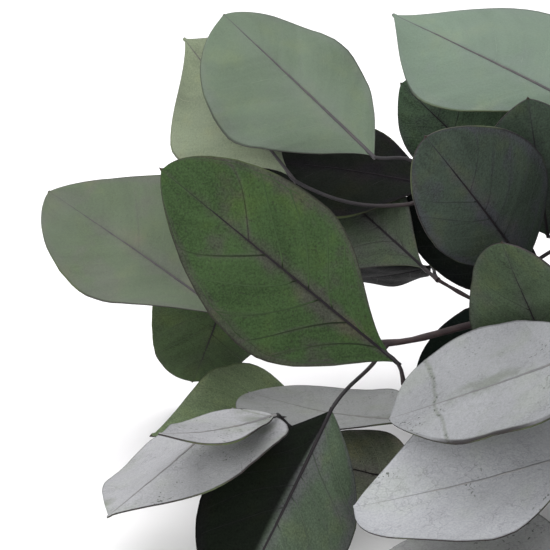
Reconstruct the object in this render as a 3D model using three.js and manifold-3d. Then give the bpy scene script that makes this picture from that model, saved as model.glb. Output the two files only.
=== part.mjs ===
import * as THREE from 'three';
import Module from 'manifold-3d';

const wasm = await Module();
wasm.setup();

// Bunch of dried eucalyptus, lying down.
// +X runs from the leaf tips to the cut stem ends, +Z is up, millimetres.

// Leaves
const LEAF_THICKNESS = 0.7;
const POINT_LENGTH = 1.2;
const PETIOLE_RADIUS = 0.75;
const PETIOLE_STEP = 8;
const RIPPLE_SHIFT = 1.3;
const LEAN_POWER = 2.5;
const FRONT_STATIONS = [0.02, 0.1, 0.21, 0.36, 0.52, 0.68, 0.82, 0.92, 0.985];
const PLAIN_STATIONS = [0.02, 0.14, 0.34, 0.58, 0.82, 0.97];

// Stems and their binding
const STEM_RADIUS = 2.3;
const TWIG_RADIUS = 0.75;
const TWIG_END_X = 25;
const STEM_FULL_X = 250;
const STEM_SIDES = 6;
const STEM_STEP = 18;
const SEAT_SPACING = 5.1;
const TIE_X = 280;
const TIE_Y = 12;
const TWINE_RADIUS = 1.0;
const TWINE_TURNS = 4;
const TWINE_PITCH = 1.55;
const TWINE_GAP = 0.3;
const FLAT_DEPTH = 0.4;
const CUT_X = 380;
const CUT_SPREAD = 1.4;
const SAG = 4;
const CUT_RISE = 0.6;
const HELD_HALF = 18;

// Middle of the footprint, which becomes the origin
const MIDDLE_X = 157.2;
const MIDDLE_Y = 22.2;

// Height of the bundle centre: twine below the lowest row of stems, less the flat
const SEAT_DROP = SEAT_SPACING * Math.sin(Math.PI / 3);
const TIE_Z = SEAT_DROP + STEM_RADIUS + TWINE_GAP + 2 * TWINE_RADIUS - FLAT_DEPTH;

// Leaves set by rule along the hidden part of the stems
const SEED = 88;
const SLOT_GAP = 9;
const TRIES = 150;
const GOLDEN_ANGLE = 137.5;
const RULE = {
  swing: 20, widen: 2.6, petiole: [10, 18], spread: [16, 56], roll: [-48, 48], length: [48, 64],
  ratio: [0.66, 0.8], bend: [6, 24], underShare: 0.3, fold: 6, wave: 1.2,
  run: 0.6, reach: 0.8, bow: 0.1,
};
const CLEARANCE = 2.3;
const STEM_CLEARANCE = 3.6;
const PETIOLE_CLEARANCE = 2.6;
const EDGE_MARGIN = 3;
const NEAR_STEM = 60;
const NEAR_LEAF = 95;
const TOP_LIMIT = 116;
const FLOOR_LIMIT = 1.0;
const BEAD_STEP = 3;
const FRAME_MARGIN = 12;

// Viewpoint that the front leaves are placed from. Their points are
// [across, down, depth]: across and down in a frame 550 units wide and high,
// depth in millimetres behind the middle of the leafy end.
const VIEW = { azimuth: 18, elevation: 22, distance: 353, height: 62, frame: 550, focal: 1527.8 };

const rad = (degrees) => (degrees * Math.PI) / 180;
const { sin, cos, sqrt, log, max, min, abs, PI } = Math;

// Vectors
const add = (a, b) => [a[0] + b[0], a[1] + b[1], a[2] + b[2]];
const sub = (a, b) => [a[0] - b[0], a[1] - b[1], a[2] - b[2]];
const scale = (a, k) => [a[0] * k, a[1] * k, a[2] * k];
const dot = (a, b) => a[0] * b[0] + a[1] * b[1] + a[2] * b[2];
const size = (a) => sqrt(dot(a, a));
const unit = (a) => scale(a, 1 / size(a));
const mix = (a, b, t) => add(scale(a, 1 - t), scale(b, t));
const cross = (a, b) => [
  a[1] * b[2] - a[2] * b[1],
  a[2] * b[0] - a[0] * b[2],
  a[0] * b[1] - a[1] * b[0],
];

// Points seen from the viewpoint
const az = rad(VIEW.azimuth);
const el = rad(VIEW.elevation);
const back = [sin(az) * cos(el), -cos(az) * cos(el), sin(el)];
const right = [cos(az), sin(az), 0];
const up = [-sin(az) * sin(el), cos(az) * sin(el), cos(el)];
const eye = add([0, 0, VIEW.height], scale(back, VIEW.distance));

function seen([across, down, depth]) {
  const reach = VIEW.distance + depth;
  const sideways = ((across - VIEW.frame / 2) / VIEW.focal) * reach;
  const upward = ((VIEW.frame / 2 - down) / VIEW.focal) * reach;
  return add(add(eye, scale(back, -reach)), add(scale(right, sideways), scale(up, upward)));
}

function shown(point) {
  const ray = sub(point, eye);
  const reach = -dot(ray, back);
  const across = VIEW.frame / 2 + (VIEW.focal * dot(ray, right)) / reach;
  const down = VIEW.frame / 2 - (VIEW.focal * dot(ray, up)) / reach;
  return [across, down, reach - VIEW.distance];
}

// Leaf blade
const PLAIN_LEAF = {
  width: 40, roll: 0, bend: 16, fold: 8, cup: -8, skew: 0, lean: 0,
  widest: 0.46, tipPower: 0.56, basePower: 1.5, wave: 1, ripples: 1.5, phase: 0, under: false,
};

function makeLeaf(base, tip, toward, look) {
  const leaf = { ...PLAIN_LEAF, ...look };
  const along = unit(sub(tip, base));
  const facing = sub(toward, mix(base, tip, 0.5));
  const square = unit(sub(facing, scale(along, dot(facing, along))));
  const roll = rad(leaf.roll);
  const rolled = add(scale(square, cos(roll)), scale(cross(along, square), sin(roll)));
  const normal = scale(rolled, leaf.under ? -1 : 1);
  const half = rad(leaf.bend) / 2;
  leaf.base = base;
  leaf.length = (size(sub(tip, base)) * half) / sin(half);
  leaf.axis = add(scale(along, cos(half)), scale(normal, sin(half)));
  leaf.normal = sub(scale(normal, cos(half)), scale(along, sin(half)));
  leaf.across = cross(leaf.normal, leaf.axis);
  return leaf;
}

function halfWidth(leaf, s, side) {
  const widest = leaf.widest + leaf.lean * side;
  const power = s < widest ? leaf.basePower : leaf.tipPower - LEAN_POWER * leaf.lean * side;
  const bulge = sin(PI * s ** (log(0.5) / log(widest)));
  const share = max(bulge, 0) ** power;
  return (share * leaf.width * (1 + leaf.skew * side)) / 2;
}

// Point and upward direction at s (base 0, tip 1) and c (edges -1 and 1)
function surface(leaf, s, c) {
  const side = Math.sign(c);
  const bend = rad(leaf.bend);
  const turn = bend * s;
  const radius = leaf.length / bend;
  const rib = add(
    leaf.base,
    sub(scale(leaf.axis, radius * sin(turn)), scale(leaf.normal, radius * (1 - cos(turn)))),
  );
  const normal = add(scale(leaf.normal, cos(turn)), scale(leaf.axis, sin(turn)));
  const y = abs(c) * halfWidth(leaf, s, side);
  const rise = rad(leaf.fold + leaf.cup * abs(c));
  const ripple = sin(2 * PI * (leaf.ripples * s + leaf.phase) + RIPPLE_SHIFT * side);
  const lift = y * sin(rise) + leaf.wave * c * c * ripple * sin(PI * s);
  const point = add(rib, add(scale(leaf.across, side * y * cos(rise)), scale(normal, lift)));
  return { point, normal };
}

function ribPoint(leaf, s) {
  return surface(leaf, s, 0).point;
}

// Closed bodies
function solid(points, faces) {
  const body = new wasm.Mesh({
    numProp: 3,
    vertProperties: new Float32Array(points.flat()),
    triVerts: new Uint32Array(faces.flat()),
  });
  return new wasm.Manifold(body);
}

function quad(a, b, c, d) {
  return [[a, b, c], [a, c, d]];
}

function blade(leaf, stations) {
  const points = [];
  const faces = [];
  for (const s of stations) {
    for (const c of [-1, 0, 1]) {
      const { point, normal } = surface(leaf, s, c);
      points.push(add(point, scale(normal, LEAF_THICKNESS / 2)));
      points.push(sub(point, scale(normal, LEAF_THICKNESS / 2)));
    }
  }
  const end = surface(leaf, 1, 0);
  const ahead = cross(leaf.across, end.normal);
  points.push(add(end.point, scale(ahead, POINT_LENGTH)));
  const tip = points.length - 1;
  for (let i = 0; i + 1 < stations.length; i += 1) {
    const a = 6 * i;
    const b = a + 6;
    faces.push(...quad(a, b, b + 2, a + 2), ...quad(a + 2, b + 2, b + 4, a + 4));
    faces.push(...quad(a + 1, a + 3, b + 3, b + 1), ...quad(a + 3, a + 5, b + 5, b + 3));
    faces.push(...quad(a, a + 1, b + 1, b), ...quad(a + 4, b + 4, b + 5, a + 5));
  }
  faces.push(...quad(0, 2, 3, 1), ...quad(2, 4, 5, 3));
  const z = tip - 6;
  faces.push([z, tip, z + 2], [z + 2, tip, z + 4], [z + 1, z + 3, tip], [z + 3, z + 5, tip]);
  faces.push([z, z + 1, tip], [z + 4, tip, z + 5]);
  return solid(points, faces);
}

function tube(line, radii, sides) {
  const points = [];
  const faces = [];
  let side = unit(cross(sub(line[1], line[0]), [0.13, 0.21, 0.97]));
  line.forEach((centre, i) => {
    const before = line[max(i - 1, 0)];
    const after = line[min(i + 1, line.length - 1)];
    const forward = unit(sub(after, before));
    side = unit(sub(side, scale(forward, dot(side, forward))));
    const other = cross(forward, side);
    for (let k = 0; k < sides; k += 1) {
      const angle = (2 * PI * k) / sides;
      const out = add(scale(side, cos(angle)), scale(other, sin(angle)));
      points.push(add(centre, scale(out, radii[i])));
    }
  });
  for (let i = 0; i + 1 < line.length; i += 1) {
    for (let k = 0; k < sides; k += 1) {
      const a = i * sides + k;
      const b = i * sides + ((k + 1) % sides);
      faces.push(...quad(a, b, b + sides, a + sides));
    }
  }
  const last = (line.length - 1) * sides;
  for (let k = 1; k + 1 < sides; k += 1) {
    faces.push([0, k + 1, k], [last, last + k, last + k + 1]);
  }
  return solid(points, faces);
}

// Smooth line through points, one piece of it per span
function smooth(points, step) {
  const line = [];
  const n = points.length;
  for (let i = 0; i + 1 < n; i += 1) {
    const p0 = i > 0 ? points[i - 1] : sub(scale(points[0], 2), points[1]);
    const p1 = points[i];
    const p2 = points[i + 1];
    const p3 = i + 2 < n ? points[i + 2] : sub(scale(points[n - 1], 2), points[n - 2]);
    const parts = max(1, Math.round(size(sub(p2, p1)) / step));
    const k1 = size(sub(p2, p1)) / size(sub(p2, p0));
    const k2 = size(sub(p2, p1)) / size(sub(p3, p1));
    const m1 = scale(sub(p2, p0), k1);
    const m2 = scale(sub(p3, p1), k2);
    for (let j = 0; j < parts; j += 1) {
      const t = j / parts;
      const h1 = 2 * t ** 3 - 3 * t ** 2 + 1;
      const h2 = 3 * t ** 2 - 2 * t ** 3;
      const g1 = t ** 3 - 2 * t ** 2 + t;
      const g2 = t ** 3 - t ** 2;
      const ends = add(scale(p1, h1), scale(p2, h2));
      line.push(add(ends, add(scale(m1, g1), scale(m2, g2))));
    }
  }
  line.push(points[n - 1]);
  return line;
}

// Seven stems: the place of each in the bundle, its leafy end as seen from the
// viewpoint, and how far its cut end stands out
const STEMS = {
  stem_1: {
    seat: 240, cut: 4, colour: '#6b7560',
    twig: [[404, 384, 2], [424, 408, 5], [500, 420, 12], [610, 420, 14]],
  },
  stem_2: {
    seat: null, cut: -6, colour: '#66725c',
    twig: [[284, 318, 18], [330, 332, 12], [388, 343, 10], [470, 325, 14], [610, 305, 20]],
  },
  stem_3: {
    seat: 0, cut: 9, colour: '#5d6856',
    twig: [[438, 280, 27], [470, 298, 28], [540, 330, 26], [610, 345, 26]],
  },
  stem_4: {
    seat: 60, cut: -2, colour: '#7b8774',
    twig: [[428, 192, 30], [470, 200, 34], [540, 196, 36], [610, 190, 38]],
  },
  stem_5: {
    seat: 300, cut: 6, colour: '#75806d',
    twig: [[320, 418, 38], [360, 417, 35], [420, 424, 32], [520, 440, 31], [610, 450, 32]],
  },
  stem_6: {
    seat: 180, cut: -9, colour: '#8a9088',
    twig: [[668, 396, -52], [720, 420, -44]],
  },
  stem_7: {
    seat: 120, cut: 1, colour: '#707c6b',
    twig: [[572, 238, 25], [640, 226, 22]],
  },
};

function seatOf(stem, spread) {
  if (stem.seat === null) return [0, 0];
  const reach = SEAT_SPACING * spread;
  return [reach * cos(rad(stem.seat)), reach * sin(rad(stem.seat))];
}

function stemLine(stem) {
  const twig = stem.twig.map(seen);
  const [y, z] = seatOf(stem, 1);
  const bound = (x) => [x, TIE_Y + y, TIE_Z + z];
  const start = twig[twig.length - 1];
  const [cutY, cutZ] = seatOf(stem, CUT_SPREAD);
  const cut = [CUT_X + stem.cut, TIE_Y + cutY, TIE_Z + cutZ + CUT_RISE];
  const middle = [0.25, 0.5, 0.75].map((t) => {
    const [x, y1, z1] = mix(start, bound(TIE_X - HELD_HALF), t);
    const sag = SAG * sin(PI * t);
    return [x, y1, z1 - sag];
  });
  const held = [-1, -0.5, 0.5, 1].map((share) => bound(TIE_X + share * HELD_HALF));
  return smooth([...twig, ...middle, ...held, cut], STEM_STEP);
}

function stemRadii(line) {
  return line.map(([x]) => {
    const share = min(1, max(0, (x - TWIG_END_X) / (STEM_FULL_X - TWIG_END_X)));
    return TWIG_RADIUS + (STEM_RADIUS - TWIG_RADIUS) * share;
  });
}

const lines = {};
for (const [name, stem] of Object.entries(STEMS)) lines[name] = stemLine(stem);
const beads = {};
for (const name of Object.keys(STEMS)) beads[name] = smooth(lines[name], BEAD_STEP);

function nearest(line, point) {
  let best = line[0];
  for (let i = 0; i + 1 < line.length; i += 1) {
    const span = sub(line[i + 1], line[i]);
    const t = min(1, max(0, dot(sub(point, line[i]), span) / dot(span, span)));
    const place = mix(line[i], line[i + 1], t);
    if (size(sub(place, point)) < size(sub(best, point))) best = place;
  }
  return best;
}

// Front leaves, with the points their petioles pass on the way to the stem
const FRONT = [
  { name: 'centre', stem: 'stem_1', base: [398, 363.5, 0], tip: [162, 170, 0],
    petiole: [[404, 384, 2]],
    width: 37.8, bend: 10, fold: 7, skew: 0.07, lean: -0.045, widest: 0.47,
    tipPower: 0.62, basePower: 1.7, wave: 1.6, ripples: 2.1, phase: -0.18 },
  { name: 'upper_left', stem: 'stem_4', base: [374, 157, 27.5], tip: [224, 15, 42],
    petiole: [[412, 161, 24], [430, 192, 30]],
    width: 40, roll: 18, bend: 4, fold: -9.5, skew: 0.09, lean: 0.045, widest: 0.53,
    tipPower: 0.52, basePower: 1, wave: 1.4, ripples: 2.4, phase: 0.13 },
  { name: 'behind_upper', stem: 'stem_4', base: [295, 181, 38.5], tip: [184, 38.5, 65.5],
    petiole: [[352, 203, 31], [410, 204, 28], [430, 194, 30]],
    width: 43, roll: -2, bend: 14, fold: -6, skew: 0.03, lean: -0.04, widest: 0.58,
    tipPower: 1.4, basePower: 1.6, wave: 1.75, ripples: 0.8, phase: -0.23 },
  { name: 'left', stem: 'stem_2', base: [230.5, 318, 23.5], tip: [49, 192, 50],
    petiole: [[284, 318, 18]],
    width: 40, roll: 17, bend: 9, fold: 10, skew: -0.15, lean: 0.04, widest: 0.52,
    tipPower: 0.74, basePower: 1.1, wave: 1.8, ripples: 1.6, phase: -0.36 },
  { name: 'low_round', stem: 'stem_2', base: [237, 257.5, 39.5], tip: [192.5, 381, 74.5],
    petiole: [[270, 288, 26], [312, 326, 14]],
    width: 35, roll: -19, bend: 15, fold: 4, widest: 0.36,
    tipPower: 0.4, basePower: 1.45, wave: 1.5, ripples: 1.6, phase: 0.25 },
  { name: 'olive', stem: 'stem_5', base: [307, 410, 63], tip: [152, 435.5, 25.5],
    petiole: [[330, 414, 50], [345, 421, 35]],
    width: 31.5, roll: 34, bend: 18, fold: 12, skew: -0.1, lean: 0.03, widest: 0.34,
    tipPower: 1.05, basePower: 1.8, wave: 1.5, ripples: 2.2, phase: 0.21 },
  { name: 'silver_small', stem: 'stem_5', base: [274.5, 415.8, -8.6], tip: [159.6, 434.5, -30.8],
    petiole: [[278, 415, -3], [283, 420, 1.5], [291, 427.5, 2], [303, 434, 8], [322, 434, 30]],
    width: 24, roll: 70, bend: 17.3, fold: 3.4, under: true, skew: 0.01, lean: -0.09,
    widest: 0.52, tipPower: 1.07, basePower: 0.75, wave: 1.9, ripples: 0.83, phase: 0.65 },
  { name: 'silver_low', stem: 'stem_5', base: [232.5, 410.5, 4], tip: [108.7, 516.2, -27],
    petiole: [[262, 414, 12], [300, 421, 26], [330, 426, 32], [356, 418, 35]],
    width: 48, roll: 64, bend: 4, fold: 13, under: true, skew: -0.03, lean: 0.02,
    widest: 0.36, tipPower: 1, basePower: 0.55, wave: 1.9, ripples: 1.13, phase: 0.59 },
  { name: 'silver_mid', stem: 'stem_5', base: [424, 421, 10], tip: [250, 393, 42],
    petiole: [[438, 424, 20], [480, 434, 30]],
    width: 47, roll: 74, fold: 4, under: true, widest: 0.52, basePower: 1.3 },
  { name: 'lower_centre', stem: 'stem_2', base: [331, 410, -3], tip: [228, 618.15, -22],
    petiole: [[346, 390, 1], [372, 365, 7], [388, 343, 10]],
    width: 38.2, roll: -10, fold: -12, skew: 0.05, widest: 0.49, lean: -0.035,
    tipPower: 0.69, basePower: 1 },
  { name: 'behind_low', stem: 'stem_5', base: [440, 494, 20], tip: [292, 459, 34],
    petiole: [[480, 474, 26], [520, 440, 30]],
    width: 30, roll: 40, widest: 0.53 },
  { name: 'silver_right', stem: 'stem_6', base: [613, 342, -43.5], tip: [390, 419, -15.5],
    petiole: [[642, 368, -50], [668, 396, -52]],
    width: 43, roll: 57, bend: 4, fold: 8, under: true, skew: 0.09, lean: 0.1, widest: 0.44,
    tipPower: 0.46, basePower: 1.25, wave: 1.25, ripples: 1.6, phase: 0.33 },
  { name: 'silver_near', stem: 'stem_6', base: [633, 435.5, -36], tip: [354, 507.5, -24],
    petiole: [[668, 424, -46], [700, 410, -48]],
    width: 47, roll: 43, bend: 13, fold: -3.5, under: true, skew: 0.22, lean: -0.1,
    widest: 0.41, tipPower: 0.59, basePower: 1.9, wave: 2, ripples: 1.3, phase: -0.19 },
  { name: 'bottom_grey', stem: 'stem_6', base: [600, 566, -42], tip: [374, 566, -20],
    petiole: [[660, 520, -50], [720, 420, -44]],
    width: 42, roll: 60, fold: 0, under: true },
  { name: 'dark_round', stem: 'stem_7', base: [524, 265.5, 27], tip: [426, 137.5, -14.5],
    petiole: [[550, 252, 26], [572, 238, 25]],
    width: 34, roll: 11.5, fold: -1, skew: -0.17, lean: 0.04, widest: 0.47,
    tipPower: 0.58, basePower: 0.85, wave: 0.3 },
  { name: 'top_right', stem: 'stem_7', base: [601.5, 117, 17], tip: [393, 14.5, 50],
    petiole: [[636, 150, 20], [650, 224, 22]],
    width: 45, roll: 29.5, bend: 6, fold: -10.5, skew: -0.22, lean: 0.075, widest: 0.56,
    tipPower: 1.3, basePower: 1, wave: 1.5, ripples: 1.1, phase: 0.46 },
  { name: 'behind_right_tip', stem: 'stem_7', base: [548, 236, 34], tip: [528, 99, 6],
    petiole: [[572, 238, 25]],
    width: 34, tipPower: 0.7 },
  { name: 'green_right', stem: 'stem_3', base: [568, 379.5, 13.5], tip: [502.5, 243, -15],
    petiole: [[590, 372, 18], [620, 346, 26]],
    width: 36, roll: -40.5, bend: 14, fold: 12, skew: -0.1, widest: 0.4,
    tipPower: 0.5, wave: 2.1, ripples: 1.65, phase: 0.29 },
  { name: 'shade_upper', stem: 'stem_4', base: [431, 186, 40], tip: [250, 162, 55],
    petiole: [[450, 193, 36], [470, 200, 34]],
    width: 33, roll: 42, widest: 0.5, tipPower: 0.7, basePower: 1 },
  { name: 'grey_green', stem: 'stem_3', base: [426, 270, 30], tip: [300, 160, 67],
    petiole: [[438, 280, 27]],
    width: 32.5, roll: 10, skew: 0.22, widest: 0.5 },
  { name: 'shade_below', stem: 'stem_3', base: [431, 266.5, 60], tip: [338, 277.5, 78],
    petiole: [[435, 275, 44], [438, 280, 27]],
    width: 27.5, roll: -75.5, fold: 5, widest: 0.45, basePower: 1.2 },
  { name: 'shade_top', stem: 'stem_4', base: [509, 186, 48.5], tip: [401.5, 84, 70],
    petiole: [[540, 196, 40]],
    width: 37, fold: 10, skew: -0.33, widest: 0.5, tipPower: 0.74, wave: 1.35 },
  { name: 'shade_low', stem: 'stem_3', base: [565, 356, 30], tip: [416, 384, 46],
    petiole: [[600, 350, 26]],
    width: 34 },
  { name: 'shade_mid', stem: 'stem_3', base: [563, 296, 40], tip: [402, 201.5, 55],
    petiole: [[580, 318, 34], [592, 340, 26]],
    width: 23, widest: 0.52, basePower: 1.3 },
];

const petiolesOf = {};
const leavesOf = {};
for (const name of Object.keys(STEMS)) {
  petiolesOf[name] = [];
  leavesOf[name] = [];
}

function petioleLine(leaf, path) {
  return smooth([ribPoint(leaf, 0.1), ribPoint(leaf, 0), ...path], PETIOLE_STEP);
}

function addLeaf(stem, leaf, path, stations) {
  leavesOf[stem].push({ leaf, stations });
  petiolesOf[stem].push(petioleLine(leaf, path));
}

for (const row of FRONT) {
  const leaf = makeLeaf(seen(row.base), seen(row.tip), eye, row);
  const path = row.petiole.map(seen);
  path[path.length - 1] = nearest(lines[row.stem], path[path.length - 1]);
  addLeaf(row.stem, leaf, path, FRONT_STATIONS);
}

// Back leaf whose point stands on the surface below
const REST_LEAF = {
  stem: 'stem_5', base: [78, 60, 30], tip: [33, 76, 3.62], toward: [40, 200, 60],
  petiole: [[90, 50, 26], [100, 40, 14]], look: { width: 34 },
};
const restLeaf = makeLeaf(REST_LEAF.base, REST_LEAF.tip, REST_LEAF.toward, REST_LEAF.look);
const [restBow, restFoot] = REST_LEAF.petiole;
const restPath = [restBow, nearest(lines[REST_LEAF.stem], restFoot)];
addLeaf(REST_LEAF.stem, restLeaf, restPath, PLAIN_STATIONS);

// Leaves set by rule
let state = SEED;
function draw(low, high) {
  state = (state * 16807) % 2147483647;
  return low + ((high - low) * state) / 2147483647;
}

function along(line, distance) {
  let rest = distance;
  for (let i = 0; i + 1 < line.length; i += 1) {
    const span = size(sub(line[i + 1], line[i]));
    if (rest < span) {
      const outward = unit(sub(line[i], line[i + 1]));
      return { place: mix(line[i], line[i + 1], rest / span), outward };
    }
    rest -= span;
  }
  return null;
}

function ruledLeaf(place, outward, slot, attempt) {
  const swing = draw(-1, 1) * (RULE.swing + RULE.widen * attempt);
  const spin = rad(GOLDEN_ANGLE * slot + swing);
  const petiole = draw(...RULE.petiole);
  const spread = rad(draw(...RULE.spread));
  const roll = draw(...RULE.roll);
  const length = draw(...RULE.length);
  const width = length * draw(...RULE.ratio);
  const bend = draw(...RULE.bend);
  const phase = draw(0, 1);
  const under = draw(0, 1) < RULE.underShare;
  const level = unit(cross([0, 0, 1], outward));
  const upright = cross(outward, level);
  const radial = add(scale(level, cos(spin)), scale(upright, sin(spin)));
  const lean = add(scale(outward, cos(spread)), scale(radial, sin(spread)));
  const way = add(scale(outward, RULE.run), scale(radial, RULE.reach));
  const base = add(place, scale(way, petiole));
  const tip = add(base, scale(lean, length));
  const look = { width, roll, bend, phase, under, fold: RULE.fold, wave: RULE.wave };
  const leaf = makeLeaf(base, tip, add(base, scale(radial, 1000)), look);
  const bow = add(mix(place, base, 0.5), scale(radial, -RULE.bow * petiole));
  return { leaf, path: [bow, place] };
}

// Samples of a blade, and the height of a point over another blade
function samplesOf(leaf) {
  const samples = [];
  for (const s of [0.04, 0.16, 0.3, 0.44, 0.58, 0.72, 0.86, 0.98]) {
    for (const c of [-1, -0.5, 0, 0.5, 1]) samples.push(surface(leaf, s, c).point);
  }
  return samples;
}

function heightOver(leaf, point) {
  const offset = sub(point, leaf.base);
  const bend = rad(leaf.bend);
  const radius = leaf.length / bend;
  const forward = dot(offset, leaf.axis);
  const down = dot(offset, leaf.normal) + radius;
  const s = Math.atan2(forward, down) / bend;
  if (s < -0.04 || s > 1.04) return null;
  const y = dot(offset, leaf.across);
  const width = halfWidth(leaf, min(0.98, max(0.03, s)), Math.sign(y) || 1);
  if (abs(y) > width + EDGE_MARGIN) return null;
  return sqrt(forward ** 2 + down ** 2) - radius - abs(y) * sin(rad(leaf.fold + leaf.cup / 2));
}

function passes(leaf, points, clearance) {
  let above = false;
  let below = false;
  for (const point of points) {
    const height = heightOver(leaf, point);
    if (height !== null) {
      if (abs(height) < clearance) return false;
      if (height > 0) above = true;
      else below = true;
    }
  }
  return !(above && below);
}

const placed = [];
for (const name of Object.keys(STEMS)) {
  leavesOf[name].forEach(({ leaf }, i) => {
    const middle = ribPoint(leaf, 0.5);
    const petiole = smooth(petiolesOf[name][i], BEAD_STEP);
    placed.push({ leaf, middle, samples: samplesOf(leaf), petiole });
  });
}
const frontOutlines = placed.map(({ leaf }) => {
  const outline = [];
  for (let i = 0; i <= 10; i += 1) outline.push(shown(surface(leaf, i / 10, 1).point));
  for (let i = 10; i >= 0; i -= 1) outline.push(shown(surface(leaf, i / 10, -1).point));
  return { outline, depth: max(...outline.map((p) => p[2])) };
});

function inside(outline, [x, y]) {
  let odd = false;
  for (let i = 0, j = outline.length - 1; i < outline.length; j = i, i += 1) {
    const [ax, ay] = outline[i];
    const [bx, by] = outline[j];
    if (ay > y !== by > y && x < ((bx - ax) * (y - ay)) / (by - ay) + ax) odd = !odd;
  }
  return odd;
}

function outOfSight(point) {
  const view = shown(point);
  const edge = VIEW.frame + FRAME_MARGIN;
  if (view[0] > edge || view[1] < -FRAME_MARGIN || view[1] > edge) return true;
  return frontOutlines.some(({ outline, depth }) => view[2] > depth + 2 && inside(outline, view));
}

function fits(trial, own) {
  const points = trial.samples;
  if (points.some((p) => p[2] < FLOOR_LIMIT || p[2] > TOP_LIMIT)) return false;
  if (!points.every(outOfSight) || !trial.petiole.every(outOfSight)) return false;
  for (const name of Object.keys(STEMS)) {
    const close = beads[name].filter((p) => size(sub(p, trial.middle)) < NEAR_STEM);
    if (!passes(trial.leaf, close, STEM_CLEARANCE)) return false;
    if (name === own) continue;
    for (const a of trial.petiole) {
      if (close.some((b) => size(sub(a, b)) < STEM_CLEARANCE)) return false;
    }
  }
  for (const other of placed) {
    if (size(sub(trial.middle, other.middle)) > NEAR_LEAF) continue;
    if (!passes(other.leaf, points, CLEARANCE)) return false;
    if (!passes(trial.leaf, other.samples, CLEARANCE)) return false;
    if (!passes(other.leaf, trial.petiole, CLEARANCE)) return false;
    if (!passes(trial.leaf, other.petiole, CLEARANCE)) return false;
    for (const a of trial.petiole.slice(0, -3)) {
      if (other.petiole.some((b) => size(sub(a, b)) < PETIOLE_CLEARANCE)) return false;
    }
  }
  return true;
}

const LEAFY = {
  stem_1: [20, 190], stem_2: [30, 255], stem_3: [24, 180], stem_4: [12, 190],
  stem_5: [24, 240], stem_6: [16, 130], stem_7: [12, 160],
};
for (const [name, [from, to]] of Object.entries(LEAFY)) {
  for (let slot = 0; from + slot * SLOT_GAP < to; slot += 1) {
    const { place, outward } = along(lines[name], from + slot * SLOT_GAP);
    let done = false;
    for (let attempt = 0; attempt < TRIES; attempt += 1) {
      const { leaf, path } = ruledLeaf(place, outward, slot, attempt);
      if (done) continue;
      const petiole = smooth(petioleLine(leaf, path), BEAD_STEP);
      const trial = { leaf, middle: ribPoint(leaf, 0.5), samples: samplesOf(leaf), petiole };
      if (fits(trial, name)) {
        placed.push(trial);
        addLeaf(name, leaf, path, PLAIN_STATIONS);
        done = true;
      }
    }
  }
}

// Twine round the bundle: turns side by side that follow the six outer stems
function bandPath() {
  const stops = [];
  for (let corner = 0; corner < 6; corner += 1) {
    const seat = rad(60 * corner);
    for (const swing of [-30, 0, 30]) {
      const angle = seat + rad(swing);
      const centre = [0, TIE_Y + SEAT_SPACING * cos(seat), TIE_Z + SEAT_SPACING * sin(seat)];
      stops.push({ centre, out: [0, cos(angle), sin(angle)] });
    }
  }
  return stops;
}

function bandProfile() {
  const half = TWINE_PITCH / 2;
  const valley = sqrt(TWINE_RADIUS ** 2 - half ** 2);
  const first = TIE_X - half * (TWINE_TURNS - 1);
  const profile = [[first - TWINE_RADIUS, 0]];
  for (let i = 0; i < TWINE_TURNS; i += 1) {
    const x = first + i * TWINE_PITCH;
    if (i > 0) profile.push([x - half, valley]);
    profile.push([x - half / 2, 0.92 * TWINE_RADIUS], [x + half / 2, 0.92 * TWINE_RADIUS]);
  }
  profile.push([first + TWINE_PITCH * (TWINE_TURNS - 1) + TWINE_RADIUS, 0]);
  const inner = profile.slice(1, -1).filter((p, i) => i % 3 !== 2).map(([x, r]) => [x, -r]);
  return [...profile, ...inner.reverse()];
}

function band() {
  const stops = bandPath();
  const profile = bandProfile();
  const points = [];
  const faces = [];
  const reach = STEM_RADIUS + TWINE_GAP + TWINE_RADIUS;
  for (const { centre, out } of stops) {
    for (const [x, r] of profile) points.push(add([x, 0, 0], add(centre, scale(out, reach + r))));
  }
  const n = stops.length;
  const m = profile.length;
  for (let i = 0; i < n; i += 1) {
    for (let k = 0; k < m; k += 1) {
      const next = ((i + 1) % n) * m;
      faces.push(...quad(i * m + k, next + k, next + ((k + 1) % m), i * m + ((k + 1) % m)));
    }
  }
  return solid(points, faces);
}

function block(low, high) {
  const [a, b, c] = low;
  const [d, e, f] = high;
  const points = [
    [a, b, c], [d, b, c], [d, e, c], [a, e, c], [a, b, f], [d, b, f], [d, e, f], [a, e, f],
  ];
  const faces = [
    ...quad(0, 3, 2, 1), ...quad(4, 5, 6, 7), ...quad(0, 1, 5, 4),
    ...quad(1, 2, 6, 5), ...quad(2, 3, 7, 6), ...quad(3, 0, 4, 7),
  ];
  return solid(points, faces);
}

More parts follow.
